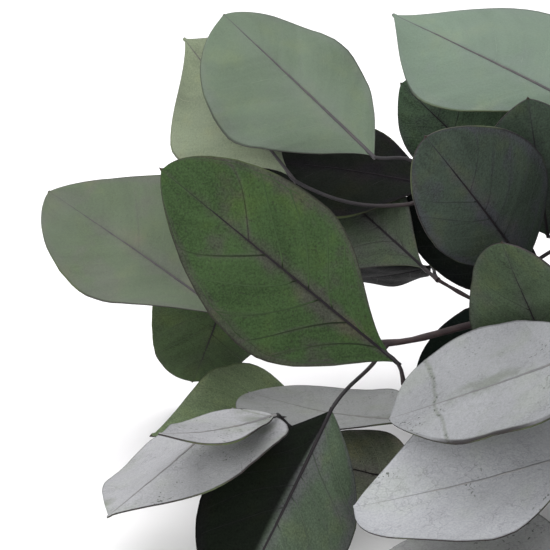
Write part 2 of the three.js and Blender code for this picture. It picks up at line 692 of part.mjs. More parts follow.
function tieBody() {
  const parts = [band()];
  const top = TIE_Z + SEAT_DROP + STEM_RADIUS + TWINE_GAP + TWINE_RADIUS;
  const y = TIE_Y - 1;
  const knot = [
    [TIE_X - 3.4, y - 1.6, top + 0.6], [TIE_X - 1.2, y - 2.2, top + 2.2],
    [TIE_X + 1.6, y - 0.6, top + 2.8], [TIE_X + 2.2, y + 1.8, top + 2.2],
    [TIE_X, y + 2.6, top + 2.0], [TIE_X - 1.8, y + 1.2, top + 2.6],
    [TIE_X - 0.6, y - 1.4, top + 3.1], [TIE_X + 3.2, y - 3.2, top + 1.0],
  ];
  const endA = [
    [TIE_X + 2.6, y - 2.6, top + 1.5], [TIE_X + 5.5, y - 4.6, top + 0.6],
    [TIE_X + 10, y - 5.6, top - 0.6], [TIE_X + 15, y - 5.2, top - 1.6],
  ];
  const endB = [
    [TIE_X - 2.6, y - 1.9, top + 1.4], [TIE_X - 6, y + 0.4, top + 0.7],
    [TIE_X - 11, y + 2.4, top + 0.9], [TIE_X - 15, y + 2.6, top + 1.3],
  ];
  for (const path of [knot, endA, endB]) {
    const line = smooth(path, 2.4);
    parts.push(tube(line, line.map(() => TWINE_RADIUS * 0.95), 6));
  }
  const floor = block([TIE_X - 20, TIE_Y - 30, -9], [TIE_X + 20, TIE_Y + 30, 0]);
  return wasm.Manifold.union(parts).subtract(floor);
}

function stemBody(name) {
  const line = lines[name];
  const parts = [tube(line, stemRadii(line), STEM_SIDES)];
  leavesOf[name].forEach(({ leaf, stations }, i) => {
    parts.push(blade(leaf, stations));
    const petiole = petiolesOf[name][i];
    parts.push(tube(petiole, petiole.map(() => PETIOLE_RADIUS), 4));
  });
  return wasm.Manifold.union(parts);
}

const bunch = new THREE.Group();

function addNode(name, body, colour, roughness) {
  const { vertProperties, triVerts } = body.getMesh();
  const geometry = new THREE.BufferGeometry();
  geometry.setAttribute('position', new THREE.BufferAttribute(vertProperties, 3));
  geometry.setIndex(new THREE.BufferAttribute(triVerts, 1));
  geometry.computeVertexNormals();
  const material = new THREE.MeshStandardMaterial({ color: colour, roughness, metalness: 0 });
  const mesh = new THREE.Mesh(geometry, material);
  mesh.name = name;
  bunch.add(mesh);
}

for (const [name, stem] of Object.entries(STEMS)) {
  addNode(name, stemBody(name), stem.colour, 0.75);
}
addNode('tie', tieBody(), '#b39a6e', 0.95);

bunch.position.set(-MIDDLE_X, -MIDDLE_Y, 0);
const group = new THREE.Group();
group.name = 'eucalyptus_bunch';
group.add(bunch);

export default group;
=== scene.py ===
# %% [markdown]
# # A bunch of dried eucalyptus
#
# The real object is a handful of leafy stems, dried and tied with twine. The leaves are broad and
# leathery, green on the face, silver-grey underneath, with a thin pale bloom of wax. This lesson
# dresses the plain solids of the bunch: finer leaves with veins, round stems, twisted twine.
#
# First the solids are loaded. They fix the size and the place of everything, so every piece made
# here is measured against them.

# %% Load the solids
import math
import bpy
import numpy as np
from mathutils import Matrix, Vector, kdtree


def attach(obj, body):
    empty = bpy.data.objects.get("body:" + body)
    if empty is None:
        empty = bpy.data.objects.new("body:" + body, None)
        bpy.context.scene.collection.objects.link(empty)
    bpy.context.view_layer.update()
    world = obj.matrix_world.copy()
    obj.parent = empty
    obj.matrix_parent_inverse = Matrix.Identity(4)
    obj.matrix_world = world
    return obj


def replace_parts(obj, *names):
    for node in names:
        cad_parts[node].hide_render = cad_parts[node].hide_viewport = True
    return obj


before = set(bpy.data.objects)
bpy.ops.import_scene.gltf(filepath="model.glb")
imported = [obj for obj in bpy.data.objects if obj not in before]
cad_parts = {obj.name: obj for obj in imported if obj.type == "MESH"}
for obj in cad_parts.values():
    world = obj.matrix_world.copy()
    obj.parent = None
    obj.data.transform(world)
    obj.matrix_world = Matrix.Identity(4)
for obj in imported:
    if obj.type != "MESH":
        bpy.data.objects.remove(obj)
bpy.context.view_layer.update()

MM, TURN = 0.001, 2 * math.pi
print("solids:", sorted(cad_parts))

# %% [markdown]
# The solids were drawn in millimetres, in a working frame whose origin lies under the middle of
# the leafy end. The finished part has its origin under the middle of the whole bunch. One helper
# moves points from the first to the second and turns them into metres, Blender's own unit.

# %% From the working frame to the part's frame
MIDDLE = np.array([157.2, 22.2, 0.0])


def to_part(points):
    return (np.asarray(points, float) - MIDDLE) * MM


print("working origin lies at, m:", to_part([0, 0, 0]))

# %% [markdown]
# The camera comes early, because the front leaves were placed from its viewpoint. It stands close
# to the leaves with a long lens, a little above the table. Points given as across, down and depth
# are turned into working millimetres with the same numbers that place the camera.

# %% Viewpoint and camera
VIEW = {
    "azimuth": 18, "elevation": 22, "distance": 353, "height": 62, "frame": 550, "focal": 1527.8,
}
SENSOR, NEAREST, FARTHEST = 36.0, 0.01, 20

az, el = math.radians(VIEW["azimuth"]), math.radians(VIEW["elevation"])
back = np.array([math.sin(az) * math.cos(el), -math.cos(az) * math.cos(el), math.sin(el)])
right = np.array([math.cos(az), math.sin(az), 0.0])
up = np.array([-math.sin(az) * math.sin(el), math.cos(az) * math.sin(el), math.cos(el)])
eye = np.array([0, 0, VIEW["height"]]) + back * VIEW["distance"]


def seen(place):
    across, down, depth = place
    reach = VIEW["distance"] + depth
    sideways = (across - VIEW["frame"] / 2) / VIEW["focal"] * reach
    upward = (VIEW["frame"] / 2 - down) / VIEW["focal"] * reach
    return eye - back * reach + right * sideways + up * upward


def placed(name, data):
    thing = bpy.data.objects.new(name, data)
    bpy.context.scene.collection.objects.link(thing)
    return thing


camera = placed("camera", bpy.data.cameras.new("camera"))
camera.data.sensor_width = SENSOR
camera.data.lens = SENSOR * VIEW["focal"] / VIEW["frame"]
camera.data.clip_start, camera.data.clip_end = NEAREST, FARTHEST
camera.location = to_part(eye)
camera.rotation_euler = Vector(-back).to_track_quat("-Z", "Y").to_euler()
bpy.context.scene.camera = camera
print("camera at, m:", [round(v, 3) for v in camera.location], "lens:", round(camera.data.lens, 1))

# %% [markdown]
# The bunch lies on a white table under soft light. A large lamp above and a little behind makes
# the leaves that look up bright. A wide one low in front lights what faces the viewer, and a weak
# one on the left and a dim sky keep the hollows readable. The floor is a wide plain sheet, and it
# is no part of the bunch.

# %% Floor and light
FLOOR_SIZE, FLOOR_DROP = 8.0, 0.0001
LAMPS = {
    "lamp_above": {"at": (-0.25, 0.35, 1.2), "size": 1.6, "power": 18.0},
    "lamp_left": {"at": (-1.3, -0.5, 0.7), "size": 1.0, "power": 6.0},
    "lamp_front": {"at": (0.15, -1.35, 0.38), "size": 2.0, "power": 27.0},
}
LIT_POINT = Vector(to_part([0, 0, 60]))
SKY = {"Color": (0.95, 0.965, 1.0, 1.0), "Strength": 0.54}


def add_floor():
    half = FLOOR_SIZE / 2
    corners = [(-half, -half, 0), (half, -half, 0), (half, half, 0), (-half, half, 0)]
    mesh = bpy.data.meshes.new("table")
    mesh.from_pydata(corners, [], [(0, 1, 2, 3)])
    table = placed("table", mesh)
    table.location.z = -FLOOR_DROP
    return table


def add_lamp(name, at, size, power):
    lamp = placed(name, bpy.data.lights.new(name, "AREA"))
    lamp.data.size, lamp.data.energy, lamp.location = size, power, at
    lamp.rotation_euler = (LIT_POINT - lamp.location).to_track_quat("-Z", "Y").to_euler()


table = add_floor()
for name, lamp in LAMPS.items():
    add_lamp(name, **lamp)
world = bpy.data.worlds.new("sky")
bpy.context.scene.world = world
world.use_nodes = True
for label, value in SKY.items():
    world.node_tree.nodes["Background"].inputs[label].default_value = value
bpy.context.scene.view_settings.view_transform = "Standard"
print("lamps:", sorted(LAMPS), "sky strength:", SKY["Strength"])

# %% [markdown]
# A leaf blade is one curved sheet. Its midrib runs in an arc from the base to the tip, the two
# halves are folded up a little from it, and the edge waves. A handful of numbers says all of that,
# so every leaf is a row of numbers rather than a mesh drawn by hand. This cell works out the
# frame of one leaf: where it starts, which way it grows, which way its face looks.
#
# Some of the numbers are about finish. "point" is how much of the hard tip is left, "veined" how
# bold the side veins are, and "under" says that the underside faces the viewer. Three paint shade
# into the colour: "shade_underside" makes the underside near black too, for a leaf that lies in
# shadow, "half_shade" paints deep shade over one half, and "edge_shade" paints a dark line of shade
# along one edge, where the gap under it lies in shadow. "scar" is the place of an old crease. The
# sign of half_shade and edge_shade says which side of the midrib is meant.

# %% The numbers of one leaf
PLAIN_LEAF = dict(
    width=40, roll=0, bend=16, fold=8, cup=-8, skew=0, lean=0, widest=0.46, tip_power=0.56,
    base_power=1.5, wave=1, ripples=1.5, phase=0, point=1, under=False, shade_underside=False, veined=0.6,
    half_shade=0, edge_shade=0, scar=0)
POINT_LENGTH = 1.2


def unit(vector):
    return vector / np.linalg.norm(vector)


def make_leaf(base, tip, toward, look):
    leaf = {**PLAIN_LEAF, **look}
    base, tip = np.asarray(base, float), np.asarray(tip, float)
    along = unit(tip - base)
    facing = np.asarray(toward, float) - (base + tip) / 2
    square = unit(facing - along * np.dot(facing, along))
    roll = math.radians(leaf["roll"])
    normal = square * math.cos(roll) + np.cross(along, square) * math.sin(roll)
    if leaf["under"]:
        normal = -normal
    half = math.radians(leaf["bend"]) / 2
    leaf["base"] = base
    leaf["length"] = np.linalg.norm(tip - base) * half / math.sin(half)
    leaf["axis"] = along * math.cos(half) + normal * math.sin(half)
    leaf["normal"] = normal * math.cos(half) - along * math.sin(half)
    leaf["across"] = np.cross(leaf["normal"], leaf["axis"])
    return leaf


def rib(leaf, share):
    bend = math.radians(leaf["bend"])
    radius = leaf["length"] / bend
    forward = leaf["axis"] * radius * math.sin(bend * share)
    return leaf["base"] + forward - leaf["normal"] * radius * (1 - math.cos(bend * share))


def tip_of(leaf):
    bend = math.radians(leaf["bend"])
    ahead = leaf["axis"] * math.cos(bend) - leaf["normal"] * math.sin(bend)
    return rib(leaf, 1) + ahead * POINT_LENGTH


print("a plain leaf, mm:", PLAIN_LEAF["width"], "wide at", PLAIN_LEAF["widest"], "of its length")

# %% [markdown]
# Seven stems are bound side by side: one in the middle and six round it. Beyond the twine they
# spread into the leafy end, where each passes through points given from the viewpoint. A smooth
# line through those points is the stem's middle.

# %% The lines of the stems
STEM_STEP, SEAT_SPACING, HELD_HALF, SAG = 18, 5.1, 18, 4
TIE_X, TIE_Y = 280, 12
STEM_RADIUS, TWIG_RADIUS = 2.3, 0.75
TWINE_RADIUS, TWINE_GAP, FLAT_DEPTH = 1.0, 0.3, 0.4
SEAT_DROP = SEAT_SPACING * math.sin(math.pi / 3)
TIE_Z = SEAT_DROP + STEM_RADIUS + TWINE_GAP + 2 * TWINE_RADIUS - FLAT_DEPTH
CUT_X, CUT_SPREAD, CUT_RISE = 380, 1.4, 0.6
STEMS = {  # where it sits in the bundle, how far past the rest it is cut, and its twig
    "stem_1": (240, 4, [[404, 384, 2], [424, 408, 5], [500, 420, 12], [610, 420, 14]]),
    "stem_2": (None, -6,
               [[284, 318, 18], [330, 332, 12], [388, 343, 10], [470, 325, 14], [610, 305, 20]]),
    "stem_3": (0, 9, [[438, 280, 27], [470, 298, 28], [540, 330, 26], [610, 345, 26]]),
    "stem_4": (60, -2, [[428, 192, 30], [470, 200, 34], [540, 196, 36], [610, 190, 38]]),
    "stem_5": (300, 6,
               [[320, 418, 38], [360, 417, 35], [420, 424, 32], [520, 440, 31], [610, 450, 32]]),
    "stem_6": (180, -9, [[668, 396, -52], [720, 420, -44]]),
    "stem_7": (120, 1, [[572, 238, 25], [640, 226, 22]]),
}


def span(a, b):
    return np.linalg.norm(np.subtract(b, a))


def smooth(points, step):
    points = [np.asarray(p, float) for p in points]
    line = []
    for i in range(len(points) - 1):
        p1, p2 = points[i], points[i + 1]
        p0 = points[i - 1] if i else 2 * points[0] - points[1]
        p3 = points[i + 2] if i + 2 < len(points) else 2 * points[-1] - points[-2]
        parts = max(1, math.floor(span(p1, p2) / step + 0.5))
        m1 = (p2 - p0) * span(p1, p2) / span(p0, p2)
        m2 = (p3 - p1) * span(p1, p2) / span(p1, p3)
        for t in np.arange(parts) / parts:
            ends = p1 * (2 * t**3 - 3 * t**2 + 1) + p2 * (3 * t**2 - 2 * t**3)
            line.append(ends + m1 * (t**3 - 2 * t**2 + t) + m2 * (t**3 - t**2))
    return line + [points[-1]]


def bound(x, seat, spread=1.0):
    y, z = 0.0, 0.0
    if seat is not None:
        angle = math.radians(seat)
        y, z = SEAT_SPACING * spread * np.array([math.cos(angle), math.sin(angle)])
    return np.array([x, TIE_Y + y, TIE_Z + z])


def stem_line(seat, cut, twig):
    twig = [seen(p) for p in twig]
    middle = []
    for t in (0.25, 0.5, 0.75):
        place = twig[-1] * (1 - t) + bound(TIE_X - HELD_HALF, seat) * t
        middle.append(place - np.array([0, 0, SAG * math.sin(math.pi * t)]))
    held = [bound(TIE_X + share * HELD_HALF, seat) for share in (-1, -0.5, 0.5, 1)]
    end = bound(CUT_X + cut, seat, CUT_SPREAD) + np.array([0, 0, CUT_RISE])
    return smooth([*twig, *middle, *held, end], STEM_STEP)


def length_of(line):
    return sum(span(a, b) for a, b in zip(line, line[1:]))


lines = {name: stem_line(*stem) for name, stem in STEMS.items()}
print("stem lengths, mm:", {name: round(length_of(line)) for name, line in lines.items()})

# %% [markdown]
# The leaves that the photograph shows are placed one by one. Each row names the stem, the base
# and tip of the blade, the points its stalk passes, the numbers of its form in the order of FORM,
# what is special about it, and the colour of the side that is shown: dried leaves of one bunch run
# from deep green through olive to a pale, dusty grey-green, and their undersides are silver. The
# last two numbers are the share of wax and of purple on it. Colours are given as on a screen and
# turned into the linear values that light works with.

# %% Leaves placed one by one
FORM = ("width", "roll", "bend", "fold", "skew", "lean", "widest", "tip_power", "base_power",
        "wave", "ripples", "phase")
FRONT = {
    "centre": ("stem_1", [398, 363.5, 0], [162, 170, 0], [[404, 384, 2]],
        (37.8, 0, 10, 7, 0.07, -0.045, 0.47, 0.62, 1.7, 1.6, 2.1, -0.18),
        dict(veined=1), (53, 72, 42), 0.05, 1.0),
    "upper_left": ("stem_4", [374, 157, 27.5], [224, 15, 42], [[412, 161, 24], [430, 192, 30]],
        (40, 18, 4, -9.5, 0.09, 0.045, 0.53, 0.52, 1, 1.4, 2.4, 0.13),
        dict(point=0.3), (92, 108, 86), 0.7, 0.3),
    "behind_upper": ("stem_4", [295, 181, 38.5], [184, 38.5, 65.5],
        [[352, 203, 31], [410, 204, 28], [430, 194, 30]],
        (43, -2, 14, -6, 0.03, -0.04, 0.58, 1.4, 1.6, 1.75, 0.8, -0.23),
        dict(point=0.2), (117, 127, 101), 0.5, 0.1),
    "left": ("stem_2", [230.5, 318, 23.5], [49, 192, 50], [[284, 318, 18]],
        (40, 17, 9, 10, -0.15, 0.04, 0.52, 0.74, 1.1, 1.8, 1.6, -0.36),
        dict(point=0.3), (78, 90, 66), 0.58, 0.5),
    "low_round": ("stem_2", [237, 257.5, 39.5], [192.5, 381, 74.5], [[270, 288, 26], [312, 326, 14]],
        (35, -19, 15, 4, 0, 0, 0.36, 0.4, 1.45, 1.5, 1.6, 0.25),
        {}, (60, 76, 48), 0.1, 0.2),
    "olive": ("stem_5", [307, 410, 63], [152, 435.5, 25.5], [[330, 414, 50], [345, 421, 35]],
        (31.5, 34, 18, 12, -0.1, 0.03, 0.34, 1.05, 1.8, 1.5, 2.2, 0.21),
        {}, (112, 128, 94), 0.2, 0.1),
    # Painted shade: a dark line along one edge of this leaf, where the gap under it lies in shadow.
    "silver_small": ("stem_5", [274.5, 415.8, -8.6], [159.6, 434.5, -30.8],
        [[278, 415, -3], [283, 420, 1.5], [291, 427.5, 2], [303, 434, 8], [322, 434, 30]],
        (24, 70, 17.3, 3.4, 0.01, -0.09, 0.52, 1.07, 0.75, 1.9, 0.83, 0.65),
        dict(under=True, point=0.3, edge_shade=-0.9), (150, 150, 152), 0.3, 0.2),
    "silver_low": ("stem_5", [232.5, 410.5, 4], [108.7, 516.2, -27],
        [[262, 414, 12], [300, 421, 26], [330, 426, 32], [356, 418, 35]],
        (48, 64, 4, 13, -0.03, 0.02, 0.36, 1, 0.55, 1.9, 1.13, 0.59),
        dict(under=True), (150, 150, 152), 0.3, 0.2),
    "silver_mid": ("stem_5", [424, 421, 10], [250, 393, 42], [[438, 424, 20], [480, 434, 30]],
        (47, 74, 16, 4, 0, 0, 0.52, 0.56, 1.3, 1, 1.5, 0),
        dict(under=True), (144, 145, 144), 0.3, 0.2),
    # Painted shade: one half of this leaf is darkened to near black, as if it lay in deep shade.
    "lower_centre": ("stem_2", [331, 410, -3], [228, 618.15, -22],
        [[346, 390, 1], [372, 365, 7], [388, 343, 10]],
        (38.2, -10, 16, -12, 0.05, -0.035, 0.49, 0.69, 1, 1, 1.5, 0),
        dict(half_shade=-0.93), (76, 90, 72), 0.15, 0.6),
    "behind_low": ("stem_5", [440, 494, 20], [292, 459, 34], [[480, 474, 26], [520, 440, 30]],
        (30, 40, 16, 8, 0, 0, 0.53, 0.56, 1.5, 1, 1.5, 0),
        {}, (140, 146, 126), 0.1, 0.2),
    # Painted shade: a dark line along one edge of this leaf, where the gap under it lies in shadow.
    "silver_right": ("stem_6", [613, 342, -43.5], [390, 419, -15.5],
        [[642, 368, -50], [668, 396, -52]],
        (43, 57, 4, 8, 0.09, 0.1, 0.44, 0.46, 1.25, 1.25, 1.6, 0.33),
        dict(under=True, scar=0.79, point=0.15, edge_shade=-0.9), (138, 139, 141), 0.2, 0.2),
    "silver_near": ("stem_6", [633, 435.5, -36], [354, 507.5, -24], [[668, 424, -46], [700, 410, -48]],
        (47, 43, 13, -3.5, 0.22, -0.1, 0.41, 0.59, 1.9, 2, 1.3, -0.19),
        dict(under=True, point=0.15), (157, 158, 161), 0.3, 0.2),
    "bottom_grey": ("stem_6", [600, 566, -42], [374, 566, -20], [[660, 520, -50], [720, 420, -44]],
        (42, 60, 16, 0, 0, 0, 0.46, 0.56, 1.5, 1, 1.5, 0),
        dict(under=True), (168, 168, 169), 0.3, 0.2),
    "dark_round": ("stem_7", [524, 265.5, 27], [426, 137.5, -14.5], [[550, 252, 26], [572, 238, 25]],
        (34, 11.5, 16, -1, -0.17, 0.04, 0.47, 0.58, 0.85, 0.3, 1.5, 0),
        {}, (64, 75, 65), 0.1, 0.5),
    "top_right": ("stem_7", [601.5, 117, 17], [393, 14.5, 50], [[636, 150, 20], [650, 224, 22]],
        (45, 29.5, 6, -10.5, -0.22, 0.075, 0.56, 1.3, 1, 1.5, 1.1, 0.46),
        dict(point=0.2), (104, 122, 104), 0.75, 0.2),
    "behind_right_tip": ("stem_7", [548, 236, 34], [528, 99, 6], [[572, 238, 25]],
        (34, 0, 16, 8, 0, 0, 0.46, 0.7, 1.5, 1, 1.5, 0),
        {}, (56, 68, 56), 0.1, 0.3),
    "green_right": ("stem_3", [568, 379.5, 13.5], [502.5, 243, -15], [[590, 372, 18], [620, 346, 26]],
        (36, -40.5, 14, 12, -0.1, 0, 0.4, 0.5, 1.5, 2.1, 1.65, 0.29),
        {}, (70, 84, 64), 0.1, 0.3),
    # The leaves named shade lie in shadow deep in the bunch: their dark colours and dark undersides
    # are painted shade.
    "shade_upper": ("stem_4", [431, 186, 40], [250, 162, 55], [[450, 193, 36], [470, 200, 34]],
        (33, 42, 16, 8, 0, 0, 0.5, 0.7, 1, 1, 1.5, 0),
        dict(shade_underside=True, veined=0.15), (28, 32, 27), 0.0, 0.5),
    "grey_green": ("stem_3", [426, 270, 30], [300, 160, 67], [[438, 280, 27]],
        (32.5, 10, 16, 8, 0.22, 0, 0.5, 0.56, 1.5, 1, 1.5, 0),
        {}, (70, 80, 64), 0.1, 0.4),
    "shade_below": ("stem_3", [431, 266.5, 60], [338, 277.5, 78], [[435, 275, 44], [438, 280, 27]],
        (27.5, -75.5, 16, 5, 0, 0, 0.45, 0.56, 1.2, 1, 1.5, 0),
        dict(shade_underside=True, veined=0.15), (8, 12, 10), 0.0, 0.3),
    "shade_top": ("stem_4", [509, 186, 48.5], [401.5, 84, 70], [[540, 196, 40]],
        (37, 0, 16, 10, -0.33, 0, 0.5, 0.74, 1.5, 1.35, 1.5, 0),
        dict(shade_underside=True), (62, 78, 60), 0.0, 0.3),
    "shade_low": ("stem_3", [565, 356, 30], [416, 384, 46], [[600, 350, 26]],
        (34, 0, 16, 8, 0, 0, 0.46, 0.56, 1.5, 1, 1.5, 0),
        dict(shade_underside=True), (14, 22, 18), 0.0, 0.2),
    "shade_mid": ("stem_3", [562, 296, 40], [402, 201.5, 55], [[580, 318, 34], [592, 340, 26]],
        (23, 0, 16, 8, 0, 0, 0.52, 0.56, 1.3, 1, 1.5, 0),
        dict(shade_underside=True), (20, 25, 21), 0.0, 0.3),
}
REST_LEAF = {  # the low leaf under the bunch, whose point meets the table
    "stem": "stem_5", "base": [78, 60, 30], "tip": [33, 76, 3.62], "toward": [40, 200, 60],
    "petiole": [[90, 50, 26], [100, 40, 14]], "look": {"width": 34},
}
# The third colour is painted shade: the near-black underside of a leaf that lies in shadow.
FACE_GREEN, SILVER_GREY, SHADE_UNDERSIDE_GREY, GREEN_SHARE = (78, 92, 64), (148, 148, 150), (24, 27, 24), 0.87
STALK_ON_BLADE, CHANCE_STEP = 0.1, 3.7

leaves = []


def linear(colour):
    share = np.asarray(colour, float) / 255
    return np.where(share <= 0.04045, share / 12.92, ((share + 0.055) / 1.055) ** 2.4)


def nearest(line, point):
    best, best_span = None, math.inf
    for a, b in zip(line, line[1:]):
        t = float(np.clip(np.dot(point - a, b - a) / np.dot(b - a, b - a), 0, 1))
        place = a * (1 - t) + b * t
        if span(place, point) < best_span:
            best, best_span = place, span(place, point)
    return best


def add_leaf(leaf, stem, path, colour, bloom, purple, underside_shown=False):
    # A leaf that lies in shadow gets a painted-shade underside, near black.
    face, pale = colour, SHADE_UNDERSIDE_GREY if leaf["shade_underside"] else SILVER_GREY
    if underside_shown:
        face, pale = FACE_GREEN, colour
    leaf.update(stem=stem, stalk=[rib(leaf, STALK_ON_BLADE), rib(leaf, 0), *path], bloom=bloom,
                purple=purple, chance=len(leaves) * CHANCE_STEP,
                tone=linear(face) * GREEN_SHARE, pale=linear(pale))
    leaves.append(leaf)


for stem, base, tip, petiole, form, special, colour, bloom, purple in FRONT.values():
    leaf = make_leaf(seen(base), seen(tip), eye, {**dict(zip(FORM, form)), **special})
    path = [seen(p) for p in petiole]
    path[-1] = nearest(lines[stem], path[-1])
    add_leaf(leaf, stem, path, colour, bloom, purple, leaf["under"])
path = [np.array(p, float) for p in REST_LEAF["petiole"]]
path[-1] = nearest(lines[REST_LEAF["stem"]], path[-1])
leaf = make_leaf(REST_LEAF["base"], REST_LEAF["tip"], REST_LEAF["toward"], REST_LEAF["look"])
add_leaf(leaf, REST_LEAF["stem"], path, FACE_GREEN, 0.2, 0.3)
print("leaves placed by hand:", len(leaves))

# %% [markdown]
# On the hidden part of each stem the leaves follow a rule, as they do on the plant: the next leaf
# stands a golden angle round the stem from the last, and chance gives it a tilt and a size of its
# own. The solids were made with the same rule and the same seed, and kept only the tries that
# were clear of their neighbours. So the rule is run again here, and a try is kept when its point
# is found among the corners of the stem's solid. That way the fine leaves land exactly on the
# plain ones.

# %% Leaves set by rule
SEED, SLOT_GAP, TRIES, GOLDEN_ANGLE, FAR = 88, 9, 150, 137.5, 1000
MULTIPLIER, MODULUS = 16807, 2147483647
RULE = {
    "swing": 20, "widen": 2.6, "petiole": (10, 18), "spread": (16, 56), "roll": (-48, 48),
    "length": (48, 64), "ratio": (0.66, 0.8), "bend": (6, 24), "under_share": 0.3,
    "fold": 6, "wave": 1.2, "run": 0.6, "reach": 0.8, "bow": 0.1,
}
LEAFY = {
    "stem_1": (20, 190), "stem_2": (30, 255), "stem_3": (24, 180), "stem_4": (12, 190),
    "stem_5": (24, 240), "stem_6": (16, 130), "stem_7": (12, 160),
}
CORNER_MATCH = 0.03 * MM
GREENS = [
    ((78, 92, 64), 0.1, 0.6), ((98, 112, 88), 0.5, 0.2), ((68, 80, 60), 0.05, 0.9),
    ((104, 120, 102), 0.7, 0.3), ((90, 100, 66), 0.1, 0.2), ((76, 90, 74), 0.3, 0.5),
]
GREEN_STRIDE = 5

state = SEED


def draw(low, high):
    global state
    state = state * MULTIPLIER % MODULUS
    return low + (high - low) * state / MODULUS


def along_line(line, distance):
    for a, b in zip(line, line[1:]):
        if distance < span(a, b):
            return a + (b - a) * distance / span(a, b), unit(a - b)
        distance -= span(a, b)


def ruled_leaf(place, outward, slot, attempt):
    swing = draw(-1, 1) * (RULE["swing"] + RULE["widen"] * attempt)
    petiole, spread, roll, length, ratio, bend = (
        draw(*RULE[k]) for k in ("petiole", "spread", "roll", "length", "ratio", "bend"))
    phase, under = draw(0, 1), draw(0, 1) < RULE["under_share"]
    spin, spread = math.radians(GOLDEN_ANGLE * slot + swing), math.radians(spread)
    level = unit(np.cross([0, 0, 1], outward))
    radial = level * math.cos(spin) + np.cross(outward, level) * math.sin(spin)
    base = place + (outward * RULE["run"] + radial * RULE["reach"]) * petiole
    tip = base + (outward * math.cos(spread) + radial * math.sin(spread)) * length
    look = {"width": length * ratio, "roll": roll, "bend": bend, "phase": phase, "under": under,
            "fold": RULE["fold"], "wave": RULE["wave"]}
    bow = (place + base) / 2 - radial * RULE["bow"] * petiole
    return make_leaf(base, tip, base + radial * FAR, look), [bow, place]


def corners_of(node):
    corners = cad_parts[node].data.vertices
    tree = kdtree.KDTree(len(corners))
    for corner in corners:
        tree.insert(corner.co, corner.index)
    tree.balance()
    return tree


for name, (start, end) in LEAFY.items():
    corners = corners_of(name)
    for slot in range(math.ceil((end - start) / SLOT_GAP)):
        place, outward = along_line(lines[name], start + slot * SLOT_GAP)
        kept = None
        for attempt in range(TRIES):
            leaf, path = ruled_leaf(place, outward, slot, attempt)
            if kept is None and corners.find(to_part(tip_of(leaf)))[2] < CORNER_MATCH:
                kept = leaf, path
        if kept:
            colour, bloom, purple = GREENS[(len(leaves) * GREEN_STRIDE + slot) % len(GREENS)]
            add_leaf(kept[0], name, kept[1], colour, bloom, purple)
on_stem = {name: [leaf for leaf in leaves if leaf["stem"] == name] for name in STEMS}
print("leaves on each stem:", {name: len(own) for name, own in on_stem.items()})

# %% [markdown]
# From here Geometry Nodes build what repeats. A formula of many steps is hard to read as a net of
# nodes, so a small helper lets it be written as a formula: a Term stands for one value in the
# tree that is being drawn, and adding or multiplying two terms adds the node that does it.

# %% A formula as nodes
OPERATIONS = {
    "__add__": "ADD", "__sub__": "SUBTRACT", "__mul__": "MULTIPLY", "__truediv__": "DIVIDE",
    "__pow__": "POWER", "__abs__": "ABSOLUTE", "sin": "SINE", "cos": "COSINE", "sign": "SIGN",
    "whole": "ROUND", "below": "LESS_THAN", "near": "COMPARE", "at_least": "MAXIMUM",
    "at_most": "MINIMUM",
}
current = None


class Term:
    def __init__(self, socket):
        self.socket = socket

    def moved(self, other):
        return combined("ShaderNodeVectorMath", "ADD", self, other)

    def dot(self, other):
        return combined("ShaderNodeVectorMath", "DOT_PRODUCT", self, other)

    def scaled(self, number):
        values = {"Vector": self, "Scale": number}
        return add_node("ShaderNodeVectorMath", values, "Vector", operation="SCALE")


def combined(kind, operation, *values):
    node = current.nodes.new(kind)
    node.operation = operation
    for slot, value in zip(node.inputs, values):
        feed(slot, value)
    return Term(next(output for output in node.outputs if output.enabled))


def as_method(operation):
    return lambda *terms: combined("ShaderNodeMath", operation, *terms)


for method, operation in OPERATIONS.items():
    setattr(Term, method, as_method(operation))


def feed(slot, value):
    if isinstance(value, Term):
        current.links.new(value.socket, slot)
    else:
        slot.default_value = value


def add_node(kind, inputs, output=0, **settings):
    node = current.nodes.new(kind)
    for setting, value in settings.items():
        setattr(node, setting, value)
    for name, value in inputs.items():
        feed(node.inputs[name], value)
    return Term(node.outputs[output])


def geo(kind, inputs, output=0, **settings):
    return add_node("GeometryNode" + kind, inputs, output, **settings)


def read(name, kind="FLOAT"):
    return geo("InputNamedAttribute", {"Name": name}, "Attribute", data_type=kind)


def vector_of(x, y, z):
    return add_node("ShaderNodeCombineXYZ", {0: x, 1: y, 2: z})


def cloud(place, scale, detail=2.0, output=0):
    """Soft noise, read at a place of one's own choice."""
    values = {"Vector": place, "Scale": scale, "Detail": detail}
    return add_node("ShaderNodeTexNoise", values, output)


def parts_of(vector):
    first = add_node("ShaderNodeSeparateXYZ", {0: vector})
    return [Term(output) for output in first.socket.node.outputs]


def new_tree(name, inputs, output="Geometry"):
    global current
    current = bpy.data.node_groups.new(name, "GeometryNodeTree")
    for label, kind in inputs.items():
        current.interface.new_socket(label, in_out="INPUT", socket_type="NodeSocket" + kind)
    current.interface.new_socket(output, in_out="OUTPUT", socket_type="NodeSocket" + output)
    start = current.nodes.new("NodeGroupInput")
    end = current.nodes.new("NodeGroupOutput")
    return {label: Term(start.outputs[label]) for label in inputs}, end.inputs[output]


print("a term knows", len(OPERATIONS), "operations:", *OPERATIONS.values())

# %% [markdown]
# The leaf surface as one node group. It reads where a point lies in a flat leaf, as a share from
# base to tip, a share from the midrib to either edge, and a height off the sheet. It reads the
# numbers of the leaf the point belongs to, and gives the point's place in the bunch. Dried
# leaves are never quite smooth, so a slow noise crumples the sheet, and the veins are pressed
# into the face a little.

